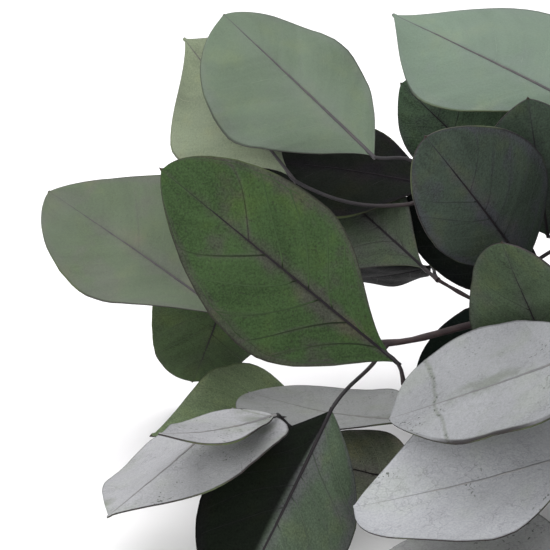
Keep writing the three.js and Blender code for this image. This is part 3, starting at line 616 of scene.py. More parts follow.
# %% The leaf surface as a node group
VEIN_STEP, VEIN_SLANT, VEIN_CURVE = 0.118, 0.27, 1.12
VEIN_WARP, VEIN_TURN, VEIN_OFFSET = 0.014, 17.0, 0.25
CRUMPLE, CRUMPLE_SCALE, RIPPLE_SHIFT, LEAN_POWER = 0.9 * MM, 55.0, 1.3, 2.5
PRESSED, PRESSED_EDGE, PRESSED_SHARPNESS = 0.10 * MM, -1.06, 3.0
POINT_AT, POINT_REACH, POINT_WIDTH = 0.994, 0.020, 0.6 * MM
UNEVEN, UNEVEN_SCALE, UNEVEN_EDGE = 0.05, 240.0, 6.0
NUMBERS = ("length", "width", "bend", "fold", "cup", "skew", "lean", "widest", "tip_power",
           "base_power", "wave", "ripples", "phase", "point")
DIRECTIONS = ("base", "axis", "normal", "across")


def vein_count(along, out, side):
    """Whole numbers of this value are side veins."""
    warped = along + (along * VEIN_TURN).sin() * VEIN_WARP
    return (warped - (out ** VEIN_CURVE) * VEIN_SLANT) / VEIN_STEP + side * VEIN_OFFSET


def half_width_of(leaf, s, side):
    widest = leaf["widest"] + leaf["lean"] * side
    near_base = s.below(widest)
    tip_power = leaf["tip_power"] - leaf["lean"] * side * LEAN_POWER
    power = leaf["base_power"] * near_base + tip_power * (near_base * -1 + 1)
    exponent = add_node("ShaderNodeMath", {0: 0.5, 1: widest}, operation="LOGARITHM")
    bulge = ((s ** exponent) * math.pi).sin().at_least(0.0)
    half_width = (bulge ** power) * leaf["width"] * (leaf["skew"] * side + 1) * 0.5
    point = (abs(s - POINT_AT) * (-1 / POINT_REACH) + 1).at_least(0.0)
    return half_width.at_least(point * POINT_WIDTH)


def leaf_surface():
    given, end = new_tree("leaf_surface", {"Height Scale": "Float"}, "Vector")
    s, c, height = parts_of(read("place", "FLOAT_VECTOR"))
    leaf = {name: read(name) for name in NUMBERS}
    s = s.at_most(1.0) + (s - 1).at_least(0.0) * leaf["point"]
    side, out = c.sign(), abs(c)
    edge_spot = vector_of(s * leaf["length"], side, leaf["phase"])
    uneven = cloud(edge_spot, UNEVEN_SCALE)
    y = out * half_width_of(leaf, s, side) * ((uneven - 0.5) * (out ** UNEVEN_EDGE) * UNEVEN + 1)
    rise = leaf["fold"] + leaf["cup"] * out
    ripple = ((leaf["ripples"] * s + leaf["phase"]) * TURN + side * RIPPLE_SHIFT).sin()
    taper = (s * math.pi).sin().at_least(0.0)
    spot = vector_of(s * leaf["length"], y * side, leaf["phase"] * 0.3)
    crumple = cloud(spot, CRUMPLE_SCALE)
    veins = (vein_count(s, out, side) * TURN).cos() * 0.5 + 0.5
    fade = (out * PRESSED_EDGE + 1).at_least(0.0) * taper
    lift = y * rise.sin() + leaf["wave"] * c * c * ripple * taper
    lift = lift + (crumple - 0.5) * CRUMPLE * (taper ** 0.5)
    lift = lift - (veins ** PRESSED_SHARPNESS) * fade * PRESSED + height * given["Height Scale"]
    base, axis, normal, across = (read(name, "FLOAT_VECTOR") for name in DIRECTIONS)
    turn, radius = leaf["bend"] * s, leaf["length"] / leaf["bend"]
    forward, sunk = radius * turn.sin(), radius * (turn.cos() - 1)
    upward = normal.scaled(turn.cos()).moved(axis.scaled(turn.sin()))
    place = base.moved(axis.scaled(forward)).moved(normal.scaled(sunk))
    feed(end, place.moved(across.scaled(side * y * rise.cos())).moved(upward.scaled(lift)))
    return current


surface_tree = leaf_surface()
print("nodes in the leaf surface:", len(surface_tree.nodes))

# %% [markdown]
# The flat leaf is a grid that is doubled into a thin closed sheet: a face, an underside and a rim.
# The grid is finer near the base and the tip, where the outline turns quickest, and three short
# rows beyond the tip make its small hard point. Every copy becomes one leaf, so the grid is kept
# as coarse as the waves of the edge allow.

# %% The flat leaf
ROWS, COLUMNS, EDGE_CROWDING, LEAF_THICKNESS = 38, 18, 0.92, 0.36 * MM
FIRST_ROW, LAST_ROW, POINT_ROWS = 0.03, 0.986, (1.004, 1.009, 1.013)
ON_FACE, ON_RIM, ON_UNDERSIDE = 0.0, 0.5, 1.0


def store(mesh, name, values, kind="FLOAT", domain="POINT"):
    field = "vector" if kind == "FLOAT_VECTOR" else "value"
    mesh.attributes.new(name, kind, domain).data.foreach_set(field, np.ravel(values).tolist())


def flat_leaf():
    stations = (1 - np.cos(math.pi * np.linspace(FIRST_ROW, LAST_ROW, ROWS))) / 2
    stations = [*stations, *POINT_ROWS]
    outs = np.sin(np.linspace(-0.5, 0.5, COLUMNS + 1) * math.pi * EDGE_CROWDING)
    outs = outs / math.sin(EDGE_CROWDING / 2 * math.pi)
    spots = np.array([(s, c, layer) for layer in (0.5, -0.5) for s in stations for c in outs])
    rows, wide = len(stations), COLUMNS + 1
    under = rows * wide
    top = [(r * wide + k, (r + 1) * wide + k, (r + 1) * wide + k + 1, r * wide + k + 1)
           for r in range(rows - 1) for k in range(COLUMNS)]
    sides = {}
    for face in top:
        for a, b in zip(face, face[1:] + face[:1]):
            if (b, a) in sides:
                del sides[(b, a)]
            else:
                sides[(a, b)] = True
    bottom = [tuple(v + under for v in reversed(face)) for face in top]
    rim = [(b, a, a + under, b + under) for a, b in sides]
    mesh = bpy.data.meshes.new("flat_leaf")
    mesh.from_pydata([(0, 0, 0)] * len(spots), [], top + bottom + rim)
    store(mesh, "place", spots, "FLOAT_VECTOR")
    facing = [ON_FACE] * len(top) + [ON_UNDERSIDE] * len(bottom) + [ON_RIM] * len(rim)
    store(mesh, "facing", facing, domain="FACE")
    rim_edges = {frozenset(edge) for a, b in sides for edge in ((a, b), (a + under, b + under))}
    sharp = [frozenset(edge.vertices) in rim_edges for edge in mesh.edges]
    store(mesh, "sharp_edge", sharp, "BOOLEAN", "EDGE")
    uv = mesh.uv_layers.new(name="leaf")
    corner = np.empty(len(mesh.loops), int)
    mesh.loops.foreach_get("vertex_index", corner)
    flat = np.stack([spots[corner, 0], spots[corner, 1] * 0.5 + 0.5], axis=1)
    uv.data.foreach_set("uv", flat.ravel())
    return mesh


flat_mesh = flat_leaf()
print("faces of one leaf:", len(flat_mesh.polygons))

# %% [markdown]
# The veins are thin cords set in the sheet: a strong midrib that runs out into the point, side
# veins that leave it at a slant, and a fine vein that follows each edge. They are drawn as lines in
# the flat leaf, each point with its height off the sheet and its own radius, and become round
# cords after the lines are bent onto the leaf.

# %% The flat veins
MIDRIB, MIDRIB_TAPER, MIDRIB_POINT, MIDRIB_SINK = (0.52, 0.20), 0.8, 0.06, 0.04
MIDRIB_START, MIDRIB_END, MIDRIB_POINTS = -0.01, 1.010, 42
SIDE_VEIN, VEIN_RISE, VEIN_POINTS, VEIN_SIDES = (0.26, 0.17), 0.08, 14, 6
EDGE_VEIN, EDGE_OUT, EDGE_SWAY, EDGE_SPAN = 0.185, 0.9, 0.012, (0.06, 0.965, 40)
FIRST_VEIN, LAST_VEIN, MOST_VEINS, SETTLE_STEPS = 0.03, 0.58, 16, 6


def side_vein(number, side):
    line = []
    for out in np.linspace(0, EDGE_OUT, VEIN_POINTS):
        s = start = (number - side * VEIN_OFFSET) * VEIN_STEP + VEIN_SLANT * out**VEIN_CURVE
        for _ in range(SETTLE_STEPS):
            s = start - VEIN_WARP * math.sin(VEIN_TURN * s)
        radius = SIDE_VEIN[0] + (SIDE_VEIN[1] - SIDE_VEIN[0]) * out
        line.append((s, side * out, VEIN_RISE, radius, 0.0))
    return line if FIRST_VEIN < line[0][0] < LAST_VEIN else None


def line_mesh(name, runs, places):
    """A mesh of open lines. Each run is the points of one line."""
    edges, first = [], 0
    for run in runs:
        edges += [(first + i, first + i + 1) for i in range(len(run) - 1)]
        first += len(run)
    mesh = bpy.data.meshes.new(name)
    mesh.from_pydata(places, edges, [])
    return mesh


def flat_veins():
    thick, thin = MIDRIB
    midrib = [(s, 0, -MIDRIB_SINK * (1 - s), thick + (thin - thick) * max(s, 0) ** MIDRIB_TAPER, 1.0)
              for s in np.linspace(MIDRIB_START, 1.0, MIDRIB_POINTS)]
    runs = [[*midrib, (MIDRIB_END, 0, 0, MIDRIB_POINT, 1.0)]]
    for side in (-1, 1):
        runs += filter(None, (side_vein(number, side) for number in range(MOST_VEINS)))
        sway = {s: EDGE_SWAY * math.cos(TURN * s / VEIN_STEP) for s in np.linspace(*EDGE_SPAN)}
        runs.append([(s, side * (EDGE_OUT + sway[s]), VEIN_RISE / 2, EDGE_VEIN, 0.0) for s in sway])
    table = np.array([point for run in runs for point in run])
    mesh = line_mesh("flat_veins", runs, [(0, 0, i * MM) for i in range(len(table))])
    store(mesh, "place", table[:, :3], "FLOAT_VECTOR")
    store(mesh, "girth", table[:, 3])
    store(mesh, "midrib", table[:, 4])
    return mesh, len(runs)


vein_mesh, vein_runs = flat_veins()
print("veins of one leaf:", vein_runs)

# %% [markdown]
# Now the finishes. A dried leaf has no single colour: each one has its own tone, blotches of
# yellow and of purple-grey, a pale bloom of wax that is rubbed off in places, and a fine grain.
# The tone and the bloom come with each leaf, the blotches come from noise in the bunch's own
# space, and the lines beside the veins follow the leaf's flat map.

# %% Helpers for finishes
PATCHES = {  # noise scale, detail, where a patch begins, where it is full, its strength
    "green_rim": (40, 2, 0.50, 0.62, 1), "brown_rim": (900, 3, 0.5, 0.7, 0.5),
    "edge_shade_patch": (45, 2, 0.3, 0.5, 1), "fine_vein": (110, 2, 0.45, 0.65, 1),
    "yellow": (120, 4, 0.50, 0.74, 0.6), "purple": (85, 5, 0.55, 0.70, 0.75),
    "vein_halo": (150, 3, 0.35, 0.6, 0.8), "dark_grain": (1500, 1, 0.64, 0.72, 0.45),
    "greened": (90, 4, 0.48, 0.7, 0.5), "net": (120, 2, 0.4, 0.65, 1),
    "crease": (130, 3, 0.45, 0.62, 1), "fine_below": (130, 2, 0.5, 0.7, 0.12),
    "vein_below": (110, 3, 0.45, 0.6, 0.7), "speck": (1300, 1, 0.62, 0.70, 1),
    "speck_zone": (75, 3, 0.56, 0.66, 1), "scar_speck": (1100, 2, 0.52, 0.64, 0.7),
    "stain": (42, 5, 0.62, 0.70, 1), "vein_shown": (90, 2, 0.3, 0.5, 1),
    "vein_light": (260, 3, 0.4, 0.7, 0.35), "grey_bark": (60, 3, 0.5, 0.7, 0.4),
    "dark_jute": (260, 3, 0.5, 0.7, 0.4),
}
FADES = {  # where a fade begins, where it is full, its strength
    "vein_chance": (0.1, 0.75, 1), "dark_half": (0, 0.12, 1), "edge_shade_band": (0.89, 0.95, 1),
    "near_midrib": (0.36, 0.04, 1), "near_edge": (0.78, 0.95, 0.8), "inner_blade": (0.95, 0.4, 1),
    "beside_midrib": (0.055, 0, 0.7), "lower_blade": (0.9, 0.35, 1), "face_edge": (0.965, 0.99, 0.6),
    "brown_point": (0.997, 1.004, 0.85), "edge_below": (0.97, 0.995, 0.5),
    "vein_foot": (0.10, 0.03, 1), "midrib_end": (0.70, 0.93, 0.7), "vein_end": (0.995, 1.003, 1),
    "upper_side": (-0.15, 0.15, 1), "twig": (0.1, 0.4, 1), "stem": (0.42, 1.0, 1),
    "bark_rib": (0.45, 0.7, 0.5), "bark_dot": (0.66, 0.72, 1), "dotted_stem": (0.4, 0.7, 1),
    "grey_stem": (0.35, 0.7, 1),
}
COLOUR_A, COLOUR_B, COLOUR_OUT = 6, 7, 2  # sockets of the Mix node


def new_material(name, roughness, specular=0.35):
    global current
    material = bpy.data.materials.new(name)
    material.use_nodes = True
    current = material.node_tree
    slots = current.nodes["Principled BSDF"].inputs
    slots["Roughness"].default_value = roughness
    slots["Specular IOR Level"].default_value = specular
    return material, slots


def painted(finish, colour, height=None, depth=0.0, strength=1.0):
    material, slots = finish
    feed(slots["Base Color"], colour)
    if height:
        relief = {"Height": height, "Distance": depth, "Strength": strength}
        feed(slots["Normal"], add_node("ShaderNodeBump", relief, "Normal"))
    return material


def noise(scale, detail, stretch=(1, 1, 1)):
    place = add_node("ShaderNodeTexCoord", {}, "Object")
    moved = add_node("ShaderNodeMapping", {"Vector": place, "Scale": stretch})
    return cloud(moved, scale, detail)


def step(value, low, high):
    values = dict(enumerate((value, low, high, 0.0, 1.0)))
    return add_node("ShaderNodeMapRange", values, "Result", interpolation_type="SMOOTHSTEP")


def patches(name):
    scale, detail, low, high, strength = PATCHES[name]
    return step(noise(scale, detail), low, high) * strength


def faded(value, name):
    low, high, strength = FADES[name]
    return step(value, low, high) * strength


def mottle(scale, detail, strength):
    return (noise(scale, detail) - 0.5) * strength


def blend(amount, first, second, how="MIX"):
    first, second = (c if isinstance(c, Term) else (*c, 1.0) for c in (first, second))
    values = {"Factor": amount, COLOUR_A: first, COLOUR_B: second}
    return add_node("ShaderNodeMix", values, COLOUR_OUT, data_type="RGBA", blend_type=how)


def tinted(colour, tint):
    return blend(1.0, colour, tint, "MULTIPLY")


def toned(colour, amount, tint):
    return blend(amount, colour, tinted(colour, tint))


def attribute(name, output="Fac"):
    return add_node("ShaderNodeAttribute", {}, output, attribute_name=name)


def flat_map():
    along, over, _ = parts_of(add_node("ShaderNodeUVMap", {}, uv_map="leaf"))
    over = (over - 0.5) * 2
    return along, abs(over), over.sign()


print("finish helpers:", *(f.__name__ for f in (noise, patches, faded, mottle, blend, tinted, toned)))

# %% [markdown]
# The side veins follow one formula, the same in the shape and in the finishes, so a line of colour
# falls exactly on a raised cord. Chance gives every vein a strength of its own: some are bold,
# some can hardly be seen.

# %% Lines of colour along the veins
RIM_DARK, RIM_GREEN, DRY_BROWN = (0.020, 0.016, 0.016), (0.060, 0.078, 0.032), (0.045, 0.028, 0.024)
# DEEP_SHADE is the near-black colour of painted shade.
DEEP_SHADE, LAST_FADE = (0.02, 0.02, 0.02), 0.4


def line_closeness(count, sharpness):
    return ((count * TURN).cos() * 0.5 + 0.5) ** sharpness


def vein_strength(count, side):
    spot = vector_of(count.whole(), side, attribute("chance").whole())
    last = LAST_VEIN / VEIN_STEP
    chance = faded(add_node("ShaderNodeTexWhiteNoise", {"Vector": spot}), "vein_chance")
    return chance * step(count, last + LAST_FADE, last) * attribute("veined")


def unwaxed(wax):
    return (wax * -1.5 + 1).at_least(0.0)


def shade_one_half(colour, out, side):
    """Painted shade: darkens one half of the leaf as if it lay in deep shade."""
    half_shade = (attribute("half_shade") * side).at_least(0.0) * faded(out, "dark_half")
    return toned(colour, half_shade, DEEP_SHADE)


def painted_edge_shade(colour, out, side):
    """Painted shade: a dark line along one edge, where the gap under the edge lies in shadow."""
    edge = (attribute("edge_shade") * side).at_least(0.0) * faded(out, "edge_shade_band")
    return blend(edge * patches("edge_shade_patch"), colour, RIM_DARK)


def bands(count, out):
    """A tone for each band between two side veins, different in every leaf."""
    return cloud(vector_of(count * 1.7, out * 0.8, attribute("chance")), 1.0) - 0.5


def rim_colour():
    return blend(patches("green_rim"), RIM_DARK, RIM_GREEN)


print("the last side vein leaves the midrib at", LAST_VEIN, "of the leaf's length")

# %% [markdown]
# The face of the leaf. The colour is laid on in the order in which the real one comes about: the
# leaf's own green, a little different in each band between two side veins; yellow blotches of
# drying; purple-grey along the midrib, the veins and the edge; a fine grain; the wax on top, which
# hides most of that; dark lines on the bare veins and beside the midrib; and last the thin dark
# rim, brown at the point.

# %% Finish: leaf face
YELLOWED, PURPLED, WAX = (1.22, 1.10, 0.82), (1.38, 0.80, 1.70), (0.21, 0.232, 0.218)
VEIN_TINT, VEIN_HALO, VEIN_LINE, FINE_VEINS, WAX_SHARE = (0.22, 0.15, 0.24), 10.0, 170.0, 5.0, 0.4
GRAIN = 2300


def leaf_face():
    finish = new_material("leaf_face", roughness=0.6, specular=0.02)
    along, out, side = flat_map()
    tone, wax = attribute("tone", "Color"), attribute("bloom")
    bare, count = wax * -0.85 + 1, vein_count(along, out, side)
    strength, grain = vein_strength(count, side), noise(GRAIN, 2)
    fine = line_closeness(count * FINE_VEINS, 2.0) * patches("fine_vein")
    light = mottle(60, 5, 0.8) + bands(count, out) * 0.7 + 1
    colour = tinted(tone, light + ((grain - 0.5) * 1.5 - fine * 0.06) * bare)
    colour = toned(colour, patches("yellow"), YELLOWED)
    ragged = mottle(160, 5, 0.55)
    haze = faded(out + along * 0.22 + ragged, "near_midrib")
    haze = haze + faded(out + ragged * 0.5, "near_edge") + patches("purple")
    haze = haze + line_closeness(count, VEIN_HALO) * strength * patches("vein_halo")
    colour = toned(colour, haze.at_most(1.0) * attribute("purple"), PURPLED)
    colour = blend(patches("dark_grain") * bare, colour, RIM_DARK)
    rubbed = wax * (noise(55, 4) * 1.2 + 0.15)
    colour = blend(rubbed.at_most(0.8), colour, blend(WAX_SHARE, tone, WAX))
    drawn = line_closeness(count, VEIN_LINE) * strength * faded(out, "inner_blade") * unwaxed(wax)
    colour = toned(colour, drawn, VEIN_TINT)
    beside = faded(out, "beside_midrib") * faded(along, "lower_blade") * bare
    colour = toned(colour, beside * attribute("veined"), VEIN_TINT)
    colour = blend(faded(out, "face_edge"), colour, rim_colour())
    colour = blend(faded(along, "brown_point"), colour, DRY_BROWN)
    feed(finish[1]["Roughness"], noise(300, 3) * 0.25 + wax * 0.15 + 0.42)
    height = noise(520, 4) * 0.5 + grain * 0.22 - fine * 0.03
    # Painted shade: one half of some leaves is darkened to near black, as if in deep shade.
    return painted(finish, shade_one_half(colour, out, side), height, depth=0.00035, strength=0.8)


# %% [markdown]
# The underside is what the photograph shows on several leaves: matt silver-grey, like felt, with a
# fine grain, a faint net of lines between the veins, and specks and stains of dull green. A scar
# is a broken row of dark specks across the leaf, where it was once creased.

# %% Finish: leaf underside and rim
NET_LINE, SPECK, STAIN = (0.62, 0.61, 0.63), (0.025, 0.032, 0.018), (0.40, 0.46, 0.30)
GREENED = (0.94, 0.99, 0.86)
SCAR_WIDTH, SCAR_SWAY, SCAR_SLANT = 0.016, 0.05, -0.11
CRACK_WARP, CRACK_WARP_SCALE = 0.0045, 420.0


def scar_line(along, out, side):
    sway = mottle(130, 3, SCAR_SWAY) + out * side * SCAR_SLANT
    return step(abs(along - attribute("scar") + sway), SCAR_WIDTH, 0.0)


def cracks(scale, width):
    """A net of fine lines, wavy because its cells are warped by noise."""
    place = add_node("ShaderNodeTexCoord", {}, "Object")
    warp = cloud(place, CRACK_WARP_SCALE, output="Color")
    values = {"Vector": place.moved(warp.scaled(CRACK_WARP)), "Scale": scale}
    cells = add_node("ShaderNodeTexVoronoi", values, "Distance", feature="DISTANCE_TO_EDGE")
    return step(cells, width, 0.0)


def leaf_underside():
    finish = new_material("leaf_underside", roughness=0.85, specular=0.04)
    along, out, side = flat_map()
    count, grain = vein_count(along, out, side), noise(GRAIN, 2)
    light = mottle(60, 4, 0.4) + bands(count, out) * 0.2 + (grain - 0.5) * 0.5 + 1
    colour = tinted(attribute("pale", "Color"), light)
    colour = toned(colour, patches("greened"), GREENED)
    net = cracks(scale=520.0, width=0.08) * patches("net")
    creases = cracks(scale=300.0, width=0.05) * patches("crease")
    fine = line_closeness(count * FINE_VEINS, 3.0) * patches("fine_below")
    bold = line_closeness(count, 300.0) * vein_strength(count, side) * patches("vein_below")
    lines = net * 0.3 + creases * 0.45 + fine + bold
    colour = toned(colour, lines.at_most(1.0), NET_LINE)
    scar = scar_line(along, out, side)
    specks = patches("speck") * patches("speck_zone")
    specks = specks + scar * patches("scar_speck")
    colour = blend(specks.at_most(1.0) * 0.75, colour, SPECK)
    stain = patches("stain") + scar * 0.8
    colour = toned(colour, stain.at_most(1.0) * 0.5, STAIN)
    # Painted shade: a dark line along one edge of some leaves, where the gap under the edge lies in
    # shadow.
    colour = painted_edge_shade(blend(faded(out, "edge_below"), colour, RIM_DARK), out, side)
    height = noise(900, 4) * 0.4 + grain * 0.2 - net * 0.1 - creases * 0.25
    return painted(finish, colour, height, depth=0.0003, strength=0.6)


def leaf_rim():
    finish = new_material("leaf_rim", roughness=0.7)
    colour = blend(patches("brown_rim"), rim_colour(), DRY_BROWN)
    return painted(finish, colour, noise(1200, 2), depth=0.0002, strength=0.6)


# %% [markdown]
# The veins are purple-brown on the face, nearly black along a bare midrib and dulled where wax
# lies on the leaf, and they fade towards the point. Underneath they are hardly darker than the
# silver. One finish does both: the mesh says for each corner which way it looks from the leaf.

# %% Finish: veins
MIDRIB_DARK, MIDRIB_WAXED = (0.008, 0.006, 0.008), (0.085, 0.080, 0.083)
MIDRIB_WORN = (0.7, 0.6, 0.75)
BELOW_VEIN, BELOW_MIDRIB, VEIN_LIGHT = (0.93, 0.93, 0.93), (0.60, 0.59, 0.58), (1.5, 1.4, 1.3)


def leaf_vein():
    finish = new_material("leaf_vein", roughness=0.55, specular=0.08)
    tone, pale, wax = attribute("tone", "Color"), attribute("pale", "Color"), attribute("bloom")
    along, over, _ = parts_of(attribute("place", "Vector"))
    out, side, midrib = abs(over), over.sign(), attribute("midrib")
    strength = vein_strength(vein_count(along, out, side), side)
    worn = blend(wax * 0.8, tone, blend(WAX_SHARE, tone, WAX))
    shown = strength * unwaxed(wax) * (out * -0.6 + 1) * patches("vein_shown")
    shown = shown.at_least(faded(out, "vein_foot") * unwaxed(wax))
    side_face = blend(shown, worn, tinted(tone, VEIN_TINT))
    midrib_face = blend(wax * 1.2, MIDRIB_DARK, MIDRIB_WAXED)
    midrib_face = blend(faded(along, "midrib_end"), midrib_face, tinted(worn, MIDRIB_WORN))
    face = blend(midrib, side_face, midrib_face)
    below = blend(midrib, tinted(pale, BELOW_VEIN), tinted(pale, BELOW_MIDRIB))
    # Painted shade: the same half is darkened on the veins as on the face.
    colour = blend(faded(attribute("upper"), "upper_side"), below, shade_one_half(face, out, side))
    colour = blend(faded(along, "vein_end"), colour, DRY_BROWN)
    colour = toned(colour, patches("vein_light"), VEIN_LIGHT)
    return painted(finish, colour, noise(1500, 3), depth=0.0002, strength=0.6)


LEAF_FACE, LEAF_UNDERSIDE = leaf_face(), leaf_underside()
LEAF_RIM, LEAF_VEIN = leaf_rim(), leaf_vein()
print("leaf finishes:", [m.name for m in (LEAF_FACE, LEAF_UNDERSIDE, LEAF_RIM, LEAF_VEIN)])

# %% [markdown]
# The leaves of one stem are grown in one step. The input is a mesh with a single point for each
# leaf, which carries the leaf's numbers. The flat leaf and the flat veins are set on every point,
# made real, and bent onto the leaf surface. Then each part gets its finish.

# %% The leaf tree
WAXED_GIRTH, FAINT_GIRTH, FACING_SLACK = -0.45, 0.5, 0.1


def on_points(points, thing):
    shape = geo("ObjectInfo", {"Object": thing}, "Geometry")
    copies = geo("InstanceOnPoints", {"Points": points, "Instance": shape})
    return geo("RealizeInstances", {"Geometry": copies})


def bent(geometry, height_scale):
    place = geo("Group", {}, node_tree=surface_tree)
    feed(place.socket.node.inputs["Height Scale"], height_scale)
    return geo("SetPosition", {"Geometry": geometry, "Position": place})


def swept(lines, profile, scale):
    return geo("CurveToMesh", {
        "Curve": lines, "Profile Curve": profile, "Scale": scale, "Fill Caps": True})


def ring(sides):
    return geo("CurvePrimitiveCircle", {"Resolution": sides, "Radius": 1.0})


def smoothed(geometry):
    return geo("SetShadeSmooth", {"Geometry": geometry})


def outward():
    return geo("InputNormal", {}, "Normal")


def joined(*parts):
    node = current.nodes.new("GeometryNodeJoinGeometry")
    for part in parts:
        feed(node.inputs[0], part)
    return Term(node.outputs[0])


def finished(geometry, material, selection=True):
    return geo("SetMaterial", {"Geometry": geometry, "Selection": selection, "Material": material})


def leaves_tree():
    given, end = new_tree("leaves", {
        "Leaf Points": "Geometry", "Flat Leaf": "Object", "Flat Veins": "Object",
        "Thickness": "Float", "Vein Girth": "Float", "Vein Sides": "Int"})
    sheets = smoothed(bent(on_points(given["Leaf Points"], given["Flat Leaf"]), given["Thickness"]))
    facing = read("facing")
    sheets = finished(sheets, LEAF_FACE)
    sheets = finished(sheets, LEAF_UNDERSIDE, facing.near(ON_UNDERSIDE, FACING_SLACK))
    sheets = finished(sheets, LEAF_RIM, facing.near(ON_RIM, FACING_SLACK))
    veins = geo("MeshToCurve", {"Mesh": on_points(given["Leaf Points"], given["Flat Veins"])})
    side_vein_only = read("midrib") * -1 + 1
    faint = side_vein_only * (read("veined") * -FAINT_GIRTH + FAINT_GIRTH)
    girth = read("girth") * (read("bloom") * side_vein_only * WAXED_GIRTH + 1) * (faint * -1 + 1)
    cords = swept(bent(veins, MM), ring(given["Vein Sides"]), girth * given["Vein Girth"])
    upper = outward().dot(read("normal", "FLOAT_VECTOR"))
    cords = geo("StoreNamedAttribute", {"Geometry": cords, "Name": "upper", "Value": upper},
                data_type="FLOAT", domain="POINT")
    feed(end, joined(finished(smoothed(cords), LEAF_VEIN), sheets))
    return current


leaf_tree = leaves_tree()
print("nodes in the leaf tree:", len(leaf_tree.nodes))

# %% [markdown]
# A Geometry Nodes modifier is a recipe that stays live. The finished piece has to be a plain mesh,
# so the recipe is run once on a helper object, its result is copied into a new mesh, and the
# helper is deleted. Inputs of the modifier are set by the identifier of their socket.

# %% Run a tree and keep its mesh
def set_inputs(modifier, values):
    for item in modifier.node_group.interface.items_tree:
        if item.item_type == "SOCKET" and item.in_out == "INPUT" and item.name in values:
            modifier[item.identifier] = values[item.name]


def grown(name, source, tree, values):
    maker = placed(name + "_maker", source)
    modifier = maker.modifiers.new("grow", "NODES")
    modifier.node_group = tree
    set_inputs(modifier, values)
    depsgraph = bpy.context.evaluated_depsgraph_get()
    mesh = bpy.data.meshes.new_from_object(
        maker.evaluated_get(depsgraph), preserve_all_data_layers=True, depsgraph=depsgraph)
    bpy.data.objects.remove(maker)
    mesh.name = name
    return placed(name, mesh)


def triangles(piece):
    return sum(len(face.vertices) - 2 for face in piece.data.polygons)


print("a grown piece is a plain mesh with no modifier")

# %% [markdown]
# The leaves of each stem. Angles are turned into radians and lengths into metres on the way in,
# because that is what the tree works with.

# %% Grow the leaves
ANGLES, LENGTHS = ("bend", "fold", "cup"), ("length", "width", "wave")
LOOKS = ("bloom", "purple", "chance", "half_shade", "scar", "veined", "edge_shade")
VECTORS = (*DIRECTIONS, "tone", "pale")


def leaf_points(name, own):
    mesh = line_mesh(name, [], [to_part(leaf["base"]) for leaf in own])
    for key in (*NUMBERS, *LOOKS):
        unit_size = math.pi / 180 if key in ANGLES else MM if key in LENGTHS else 1
        store(mesh, key, [leaf[key] * unit_size for leaf in own])
    for key in VECTORS:
        values = [to_part(leaf[key]) if key == "base" else leaf[key] for leaf in own]
        store(mesh, key, values, "FLOAT_VECTOR")
    return mesh


flat_leaf_object = bpy.data.objects.new("flat_leaf", flat_mesh)
flat_vein_object = bpy.data.objects.new("flat_veins", vein_mesh)
pieces = []
for name, own in on_stem.items():
    piece = grown(name + "_leaves", leaf_points(name + "_points", own), leaf_tree, {
        "Flat Leaf": flat_leaf_object, "Flat Veins": flat_vein_object,
        "Thickness": LEAF_THICKNESS, "Vein Girth": MM, "Vein Sides": VEIN_SIDES})
    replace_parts(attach(piece, "root"), name)
    pieces.append(piece)
    print(piece.name, "leaves:", len(own), "triangles:", triangles(piece))

# %% [markdown]
# Stems, twigs and leaf stalks are round wood. Each is a line with a radius at every point: the
# stem swells where a stalk leaves it and at old leaf rings, and a stalk thins out on the blade
# and flares at its foot. A tree turns the lines into round bodies, and a fine noise gives the
# bark its ribs.

# %% Lines of the wood
FINE_STEP, STALK_STEP = 3.0, 1.6
STALK_RADIUS, STALK_START, STALK_FLARE, FLARE_POWER, ON_BLADE = 0.47, 0.24, 0.25, 8, 7.0
SWELLING, SWELL_REACH, TIP_RADIUS, TIP_GROWTH = 0.38, 2.4, 0.36, 0.011
FULL_X, TWIG_END_X = 250, 25
RING_GAP, RING_SIZE, RING_PLACE, RING_WIDTH = 31.0, 0.16, 6, 1.6
TWIG_AGE, STALK_AGE = 0.35, 0.3


def stem_radius(x):
    share = min(1, max(0, (x - TWIG_END_X) / (FULL_X - TWIG_END_X)))
    return TWIG_RADIUS + (STEM_RADIUS - TWIG_RADIUS) * share, share


def stem_run(line, feet):
    run, walked = [], 0.0
    for i, point in enumerate(line):
        walked += span(point, line[i - 1]) if i else 0
        radius, share = stem_radius(point[0])
        radius = min(radius, TIP_RADIUS + TIP_GROWTH * walked)
        if abs(point[0] - TIE_X) >= HELD_HALF:
            swell = np.exp(-((np.linalg.norm(feet - point, axis=1) / SWELL_REACH) ** 2)).max()
            ring_share = math.exp(-(((walked % RING_GAP) - RING_PLACE) / RING_WIDTH) ** 2)
            radius = radius * (1 + SWELLING * swell) + RING_SIZE * ring_share
        run.append((point, radius, TWIG_AGE + (1 - TWIG_AGE) * share))
    return run


def stalk_run(stalk):
    ends = np.linspace(0, 1, len(stalk))
    free = np.clip(ends * len(stalk) * STALK_STEP / ON_BLADE, 0, 1)
    radii = STALK_START + (STALK_RADIUS - STALK_START) * free + STALK_FLARE * ends**FLARE_POWER
    return [(point, radius, STALK_AGE * t) for point, radius, t in zip(stalk, radii, ends)]


def wood_lines(stem, own):
    feet = np.array([leaf["stalk"][-1] for leaf in own])
    runs = [stem_run(smooth(lines[stem], FINE_STEP), feet)]
    runs += [stalk_run(smooth(leaf["stalk"], STALK_STEP)) for leaf in own]
    places, radii, ages = zip(*(point for run in runs for point in run))
    mesh = line_mesh(stem + "_lines", runs, [to_part(place) for place in places])
    store(mesh, "girth", [radius * MM for radius in radii])
    store(mesh, "age", ages)
    return mesh


print("stem radius at the twine, mm:", stem_radius(TIE_X)[0])

# %% [markdown]
# Leaf stalks and thin twigs dry almost black, with a breath of purple. The stems are grey-brown,
# with fine ribs along them and pale dots. The cut ends show pale wood with a darker pith.

